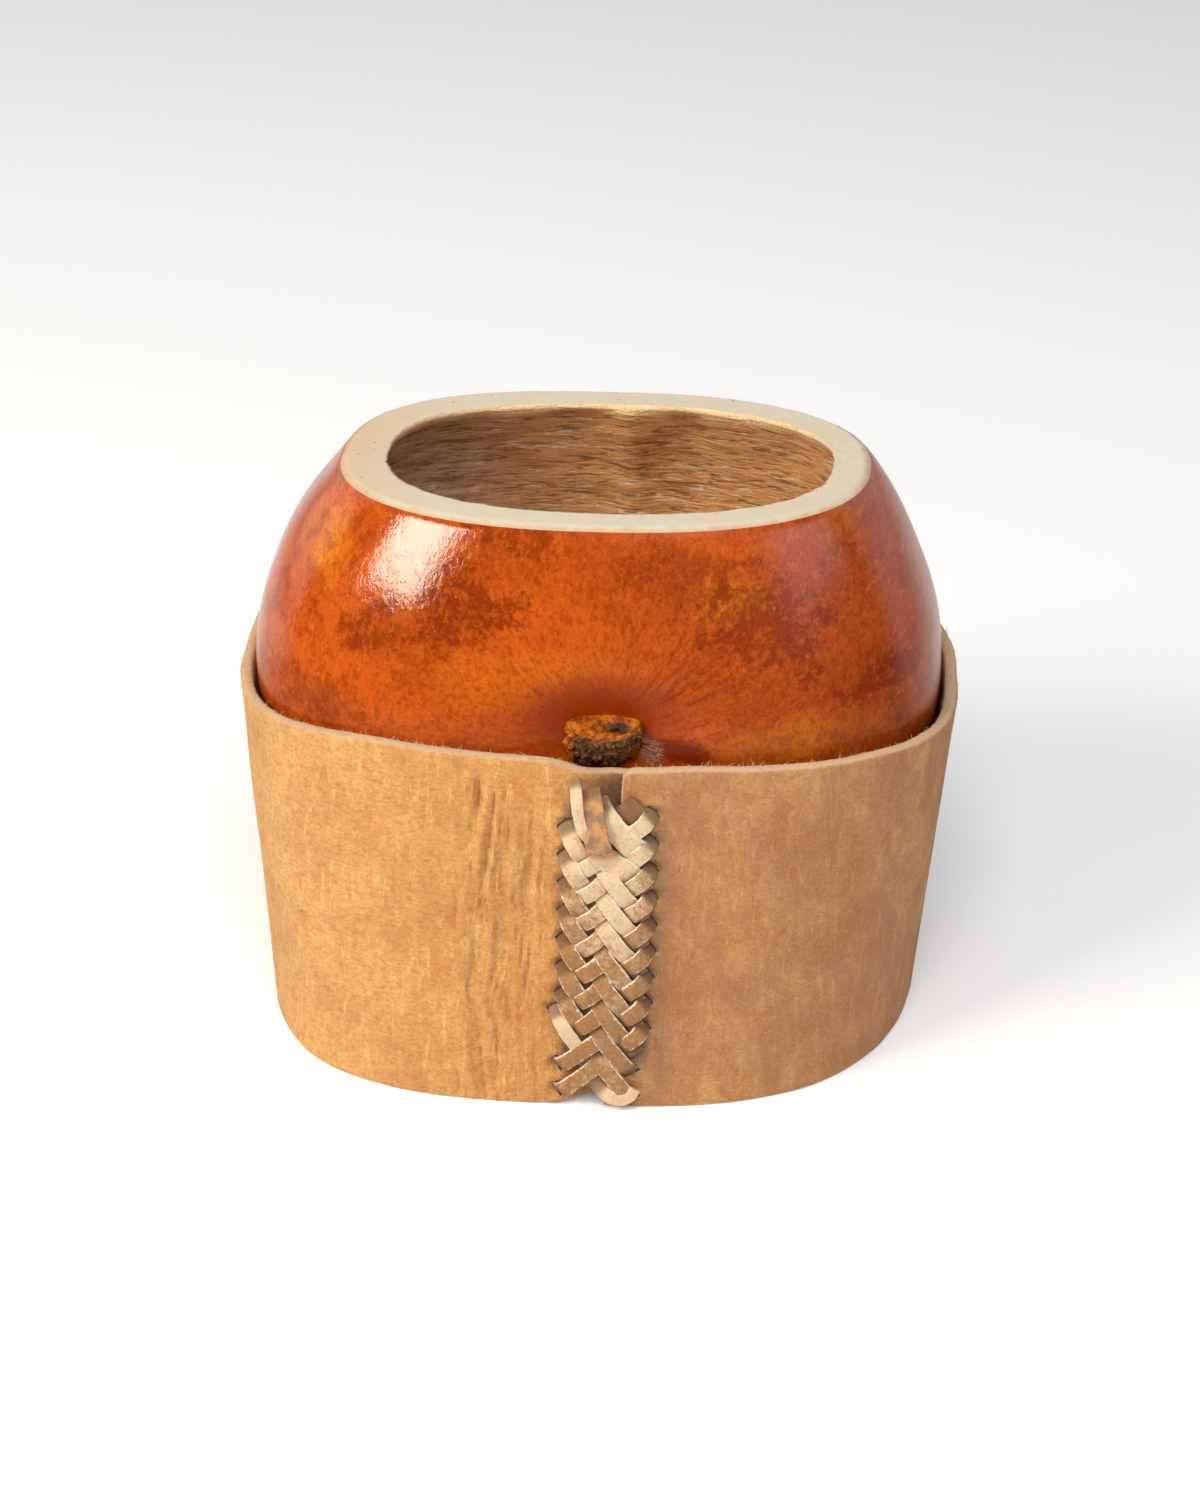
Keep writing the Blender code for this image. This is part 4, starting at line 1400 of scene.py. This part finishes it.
LEFT_DIVE = ((-1.5, -1.3), (-1.2, 0.2))
OVER_UNDER = (
    (-0.3, LEVEL_OVER),
    (0.8, LEVEL_OVER),
    (1.9, LEVEL_UNDER),
    (3.8, LEVEL_UNDER),
    (5.1, LEVEL_OVER),
    (7.9, LEVEL_OVER),
    (9.2, LEVEL_UNDER),
    (10.6, LEVEL_UNDER),
)
UNDER_OVER = (
    (-0.6, LEVEL_UNDER),
    (0.6, LEVEL_UNDER),
    (1.9, LEVEL_OVER),
    (3.8, LEVEL_OVER),
    (5.1, LEVEL_UNDER),
    (7.9, LEVEL_UNDER),
    (9.2, LEVEL_OVER),
    (10.8, LEVEL_OVER),
)
RIGHT_DIVE = ((11.6, 0.2), (11.8, -1.3))


def falling_strand(strand):
    stops = LEFT_DIVE + OVER_UNDER
    if strand >= 5:
        stops = LEFT_DIVE + OVER_UNDER[:5] + ((8.6, LEVEL_OVER), (9.75, 0.2), (9.95, -1.3))
    return [(x, falling_z(strand, x), level) for x, level in stops]


def rising_strand(strand):
    stops = UNDER_OVER + RIGHT_DIVE
    if strand >= 7:
        stops = ((-2.0, -1.3), (-1.8, 0.2), (-0.9, LEVEL_OVER)) + UNDER_OVER[3:] + RIGHT_DIVE
    return [(x, rising_z(strand, x), level) for x, level in stops]


def start_strands():
    """The pieces that begin the lacing: a narrow loop, a folded flap, a wide tab and a scrap."""
    loop = [(0.0, 55.2, -0.6), (0.35, 54.8, 1.0), (0.7, 52.6, LEVEL_TOP), (1.0, 50.2, LEVEL_TOP)]
    loop += [(1.7, 48.3, LEVEL_TOP), (2.6, 46.4, LEVEL_OVER), (3.6, 43.6, LEVEL_UNDER)]
    loop += [(x, falling_z(-1, x), level) for x, level in OVER_UNDER[4:]]
    flap = [(2.0, 54.2, 0.3), (2.4, 53.0, 1.1), (3.3, 49.2, LEVEL_TOP)]
    flap += [(4.2, 45.6, LEVEL_TOP + 0.3), (6.2, 43.0, LEVEL_OVER)]
    flap += [(x, falling_z(-2, x), level) for x, level in OVER_UNDER[5:]]
    tab = [(3.2, 52.4, -0.1), (3.9, 51.4, 0.6), (5.6, 49.6, LEVEL_OVER), (7.1, 47.8, LEVEL_OVER)]
    tab += [(9.0, 46.0, LEVEL_OVER), (10.2, 44.9, LEVEL_UNDER), (11.0, 44.2, 0.2)]
    scrap = [(6.6, 49.4, 0.5), (8.2, 51.0, 0.75), (9.8, 52.6, 0.5)]
    return (loop, 2.6, 0.0, 0.38), (flap, 3.6, 1.0, 0.0), (tab, 3.8, 0.0, 0.0), (scrap, 3.6, 1.0, 0.0)


def end_loop():
    """The pale last strand: it comes out under the others and turns round to the lowest slit."""
    stops = ((-2.6, -1.3), (-2.3, 0.2), (-1.4, LEVEL_OVER)) + OVER_UNDER[1:3]
    path = [(x, falling_z(7, x), level) for x, level in stops]
    path += [(3.2, 6.4, LEVEL_UNDER), (4.5, 4.2, LEVEL_UNDER), (6.3, 2.7, LEVEL_OVER)]
    path += [(8.2, 2.3, LEVEL_OVER), (9.4, 2.9, LEVEL_OVER), (10.3, 4.2, LEVEL_OVER)]
    return path, 2.2


def lean(x, z):
    """Distance round the ring: lower down the lacing narrows and draws to the left."""
    return x * (1.0 - 0.05 * smooth((30.0 - z) / 20.0)) - 0.4 * smooth((40.0 - z) / 25.0)


def thong_slits():
    """Places and turns of the slits that the strands go into."""
    fall_turn = math.atan2(3.5, 5.8)
    rise_turn = -math.atan2(3.5, 3.3)
    slits = [(-1.3, falling_z(strand, -1.3), fall_turn) for strand in range(7)]
    slits.append((-2.4, falling_z(7, -2.4), fall_turn))
    slits += [(11.6, rising_z(strand, 11.6), rise_turn) for strand in range(9)]
    slits += [(-1.8, rising_z(strand, -1.8), -math.pi * 0.3) for strand in (7, 8)]
    slits += [(9.75, falling_z(strand, 9.75), fall_turn) for strand in (5, 6)]
    return [(lean(x, z), z, turn) for x, z, turn in slits]


STRAND_COLUMNS = 64
STRAND_ROWS = 8


def path_lengths(path):
    """Length so far at each stop of a path."""
    lengths = [0.0]
    for before, after in zip(path, path[1:]):
        lengths.append(lengths[-1] + (Vector(after) - Vector(before)).length)
    return lengths


def strand_shade_where_low(path):
    """How much painted shade each column of a strand gets: most where it lies low, under the others.
    """
    lengths = path_lengths(path)
    levels = [stop[2] for stop in path]
    shades_where_low = []
    for column in range(STRAND_COLUMNS + 1):
        level = along(lengths, levels, lengths[-1] * column / STRAND_COLUMNS)
        shades_where_low.append(0.75 * smooth((LEVEL_OVER - 0.12 - level) / 0.45))
    return shades_where_low


def strand_shape(path, width, slim, seed):
    """Function of column and row that lays a strip along a path over the hide's face."""
    lengths = path_lengths(path)
    centres = []
    normals = []
    for column in range(STRAND_COLUMNS + 1):
        position = lengths[-1] * column / STRAND_COLUMNS
        x, z, level = (along(lengths, [stop[axis] for stop in path], position) for axis in range(3))
        here, normal = hide_frame(lean(x, z), z)
        if level > 0.0:
            level *= 1.0 + 0.5 * smooth((z - 8.0) / 8.0)
        centres.append(here + normal * level)
        normals.append(normal)

    def shape(column, row):
        before = centres[max(column - 1, 0)]
        ahead = (centres[min(column + 1, STRAND_COLUMNS)] - before).normalized()
        side = ahead.cross(normals[column]).normalized()
        out = side.cross(ahead).normalized()
        across = 1.0 - 2.0 * row / STRAND_ROWS
        way = Vector((column * 0.16, seed * 7.3, 2.0 * across))
        half = 0.5 * width * (1.0 + 0.09 * noise.noise(way) + 0.05 * noise.noise(way * 4.0))
        half *= 1.0 - slim * smooth((centres[column].z - 44.0) / 3.0)
        lift = -0.12 * across * across + 0.07 * noise.noise(way * 1.7)
        return centres[column] + side * (half * across) + out * lift

    return shape


def make_strand(index, path, width, worn, flesh, slim, settings):
    """One strip of thong with its thickness and rounded edges."""
    shape = strand_shape(path, width, slim, index)
    piece = shaped_sheet(f"strand_{index:02d}", STRAND_COLUMNS, STRAND_ROWS, shape)
    count = len(piece.data.vertices)
    rows = [vertex // (STRAND_COLUMNS + 1) for vertex in range(count)]
    keep_value(piece, "strand_edge", [abs(2.0 * row / STRAND_ROWS - 1.0) ** 2 for row in rows])
    keep_value(piece, "worn", [worn] * count)
    shades_where_low = strand_shade_where_low(path)
    keep_value(piece, "soil", [shades_where_low[vertex % (STRAND_COLUMNS + 1)] for vertex in range(count)])
    tops = [from_frame(vertex.co).z for vertex in piece.data.vertices]
    keep_value(piece, "flesh", [flesh * smooth((top - 44.3) / 1.2) for top in tops])
    thickness = piece.modifiers.new("thickness", "SOLIDIFY")
    thickness.thickness = settings.thickness
    thickness.offset = 0.0
    rounding = piece.modifiers.new("rounding", "BEVEL")
    rounding.width = 0.00014
    rounding.segments = 2
    rounding.limit_method = "ANGLE"
    rounding.angle_limit = math.radians(50.0)
    apply_modifiers(piece)
    return piece


def make_lacing(settings):
    width = settings.width / MM
    draw = random.Random(11)
    pieces = []
    routes = [(path, wide, 0.05, flesh, slim) for path, wide, flesh, slim in start_strands()]
    for strand in range(7):
        worn = mix(0.1, 0.75, smooth((strand + 0.5) / 5.0))
        routes.append((falling_strand(strand), width, worn + draw.uniform(-0.15, 0.15), 0.0, 0.0))
    path, wide = end_loop()
    routes.append((path, wide, 0.05, 0.0, 0.0))
    for strand in range(9):
        worn = mix(0.1, 0.8, smooth(strand / 5.0))
        routes.append((rising_strand(strand), width, worn + draw.uniform(-0.15, 0.15), 0.0, 0.0))
    for index, route in enumerate(routes):
        pieces.append(make_strand(index, *route, settings))
    piece = join(pieces, "thong_lacing")
    raise_surface(piece, lambda index, place: 0.04 * cloud(place, 0.8))
    shade_by_angle(piece, 60.0)
    piece.data.materials.append(rawhide_thong(settings))
    return piece


# Stage


CAMERA_AZIMUTH = 5.0
CAMERA_ELEVATION = 32.0
CAMERA_ROLL = 0.8
CAMERA_TARGET = Vector((-0.00044, 0.00055, 0.03525))


# Each soft light: azimuth, elevation, distance, size and colour, and whether the shell mirrors it
SOFTBOXES = (
    ("key", -56.0, 37.0, 1.0, (0.38, 0.25), (1.0, 0.88, 0.71), True),
    ("side", -60.0, 30.0, 1.0, (0.6, 0.5), (1.0, 0.96, 0.9), False),
    ("fill", 60.0, 34.0, 1.2, (0.7, 0.4), (0.93, 0.96, 1.0), True),
    ("front", 5.0, 58.0, 1.0, (0.5, 0.5), (1.0, 0.96, 0.9), False),
)


def direction(azimuth, elevation):
    """Unit vector towards a place seen at an azimuth from the front and an elevation."""
    turn = math.radians(azimuth)
    rise = math.radians(elevation)
    return Vector((math.sin(turn) * math.cos(rise), -math.cos(turn) * math.cos(rise), math.sin(rise)))


def add_softbox(name, azimuth, elevation, distance, size, power, colour, mirrored):
    """A rectangular light that faces the middle of the cup, mirrored in shiny pieces or not."""
    middle = Vector((0.0, 0.0, 0.06))
    towards = direction(azimuth, elevation)
    deselect_all()
    bpy.ops.object.light_add(type="AREA", location=middle + towards * distance)
    light = bpy.context.object
    light.name = name
    light.data.shape = "RECTANGLE"
    light.data.size, light.data.size_y = size
    light.data.energy = power
    light.data.color = colour
    light.rotation_mode = "QUATERNION"
    light.rotation_quaternion = towards.to_track_quat("Z", "Y")
    light.visible_glossy = mirrored


def add_floor(settings):
    """A wide pale floor that mirrors darkly in the shell where it lies in front of the cup."""
    deselect_all()
    bpy.ops.mesh.primitive_plane_add(size=8.0)
    floor = bpy.context.object
    floor.name = "floor"
    surface, tree, shader = new_surface("plain_floor", Roughness=0.9, Specular_IOR_Level=0.1)
    place = add_node(tree, "ShaderNodeNewGeometry").outputs["Position"]
    forward = add_node(tree, "ShaderNodeSeparateXYZ", {0: place}).outputs["Y"]
    mirrored = add_node(tree, "ShaderNodeLightPath").outputs["Is Glossy Ray"]
    dim = times(tree, mirrored, stretch_range(tree, forward, 0.12, -0.02, 0.0, 0.92))
    colour = blend_colours(tree, dim, settings.floor_colour, (0.05, 0.04, 0.03))
    tree.links.new(colour, shader.inputs["Base Color"])
    seen = add_node(tree, "ShaderNodeLightPath").outputs["Is Camera Ray"]
    glow = blend_colours(tree, seen, (0.0, 0.0, 0.0), (0.10, 0.12, 0.15))
    tree.links.new(glow, shader.inputs["Emission Color"])
    shader.inputs["Emission Strength"].default_value = 1.0
    floor.data.materials.append(surface)


def add_world(settings):
    """Even room light, which shiny pieces see as dark in front and pale behind the cup."""
    world = bpy.data.worlds.new("studio")
    world.use_nodes = True
    tree = world.node_tree
    background = tree.nodes["Background"]
    background.inputs["Color"].default_value = (0.93, 0.96, 1.0, 1.0)
    towards = add_node(tree, "ShaderNodeTexCoord").outputs["Generated"]
    backward = add_node(tree, "ShaderNodeSeparateXYZ", {0: towards}).outputs["Y"]
    seen = stretch_range(tree, backward, 0.04, 0.2, 0.02, 0.8)
    mirrored = add_node(tree, "ShaderNodeLightPath").outputs["Is Glossy Ray"]
    inputs = {0: mirrored, 2: settings.room_light, 3: seen}
    strength = add_node(tree, "ShaderNodeMix", inputs, data_type="FLOAT").outputs[0]
    tree.links.new(strength, background.inputs["Strength"])
    bpy.context.scene.world = world


def add_camera(settings):
    towards = direction(CAMERA_AZIMUTH, CAMERA_ELEVATION)
    deselect_all()
    bpy.ops.object.camera_add(location=CAMERA_TARGET + towards * settings.distance)
    camera = bpy.context.object
    camera.rotation_mode = "QUATERNION"
    roll = Quaternion((0.0, 0.0, 1.0), math.radians(CAMERA_ROLL))
    camera.rotation_quaternion = towards.to_track_quat("Z", "Y") @ roll
    camera.data.sensor_width = 36.0
    camera.data.lens = settings.lens
    bpy.context.scene.camera = camera


# Operators


class GOURDCUP_OT_shell(bpy.types.Operator):
    """Make the lacquered shell with its rim and inside, and the stub of its stem"""

    bl_idname = "gourd_cup.shell"
    bl_label = "Shell and stem"

    def execute(self, context):
        settings = context.scene.gourd_cup_shell
        finish_piece(make_shell(settings), "gourd")
        finish_piece(make_stem_stub(), "gourd")
        return {"FINISHED"}


class GOURDCUP_OT_hide(bpy.types.Operator):
    """Make the ring of suede hide with its slits"""

    bl_idname = "gourd_cup.hide"
    bl_label = "Hide ring"

    def execute(self, context):
        settings = context.scene.gourd_cup_hide
        finish_piece(make_hide(settings), "band")
        finish_piece(make_fuzz(settings), "band")
        return {"FINISHED"}


class GOURDCUP_OT_lacing(bpy.types.Operator):
    """Weave the strands of the rawhide thong"""

    bl_idname = "gourd_cup.lacing"
    bl_label = "Lacing"

    def execute(self, context):
        finish_piece(make_lacing(context.scene.gourd_cup_thong), "lacing")
        return {"FINISHED"}


class GOURDCUP_OT_stage(bpy.types.Operator):
    """Add the floor, the lights and the camera"""

    bl_idname = "gourd_cup.stage"
    bl_label = "Stage"

    def execute(self, context):
        settings = context.scene.gourd_cup_stage
        add_floor(settings)
        add_world(settings)
        for name, *place, light_colour, mirrored in SOFTBOXES:
            power = getattr(settings, name + "_power")
            add_softbox(name + "_softbox", *place, power, light_colour, mirrored)
        add_camera(settings)
        context.scene.view_settings.view_transform = "Standard"
        return {"FINISHED"}


class GOURDCUP_PT_panel(bpy.types.Panel):
    bl_label = "Mate gourd cup"
    bl_idname = "GOURDCUP_PT_panel"
    bl_space_type = "VIEW_3D"
    bl_region_type = "UI"
    bl_category = "Gourd Cup"

    def draw(self, context):
        for operator in OPERATORS:
            self.layout.operator(operator.bl_idname)
        for name in SETTINGS:
            group = getattr(context.scene, name)
            box = self.layout.box()
            for field in group.__annotations__:
                box.prop(group, field)


OPERATORS = (GOURDCUP_OT_shell, GOURDCUP_OT_hide, GOURDCUP_OT_lacing, GOURDCUP_OT_stage)
SETTINGS = {
    "gourd_cup_shell": ShellSettings,
    "gourd_cup_hide": HideSettings,
    "gourd_cup_thong": ThongSettings,
    "gourd_cup_stage": StageSettings,
}


def register():
    for kind in (*SETTINGS.values(), *OPERATORS, GOURDCUP_PT_panel):
        bpy.utils.register_class(kind)
    for name, kind in SETTINGS.items():
        setattr(bpy.types.Scene, name, PointerProperty(type=kind))


def unregister():
    for name in SETTINGS:
        delattr(bpy.types.Scene, name)
    for kind in (GOURDCUP_PT_panel, *reversed(OPERATORS), *SETTINGS.values()):
        bpy.utils.unregister_class(kind)


def main():
    register()
    bpy.ops.gourd_cup.shell()
    bpy.ops.gourd_cup.hide()
    bpy.ops.gourd_cup.lacing()
    bpy.ops.gourd_cup.stage()


if __name__ == "__main__":
    main()
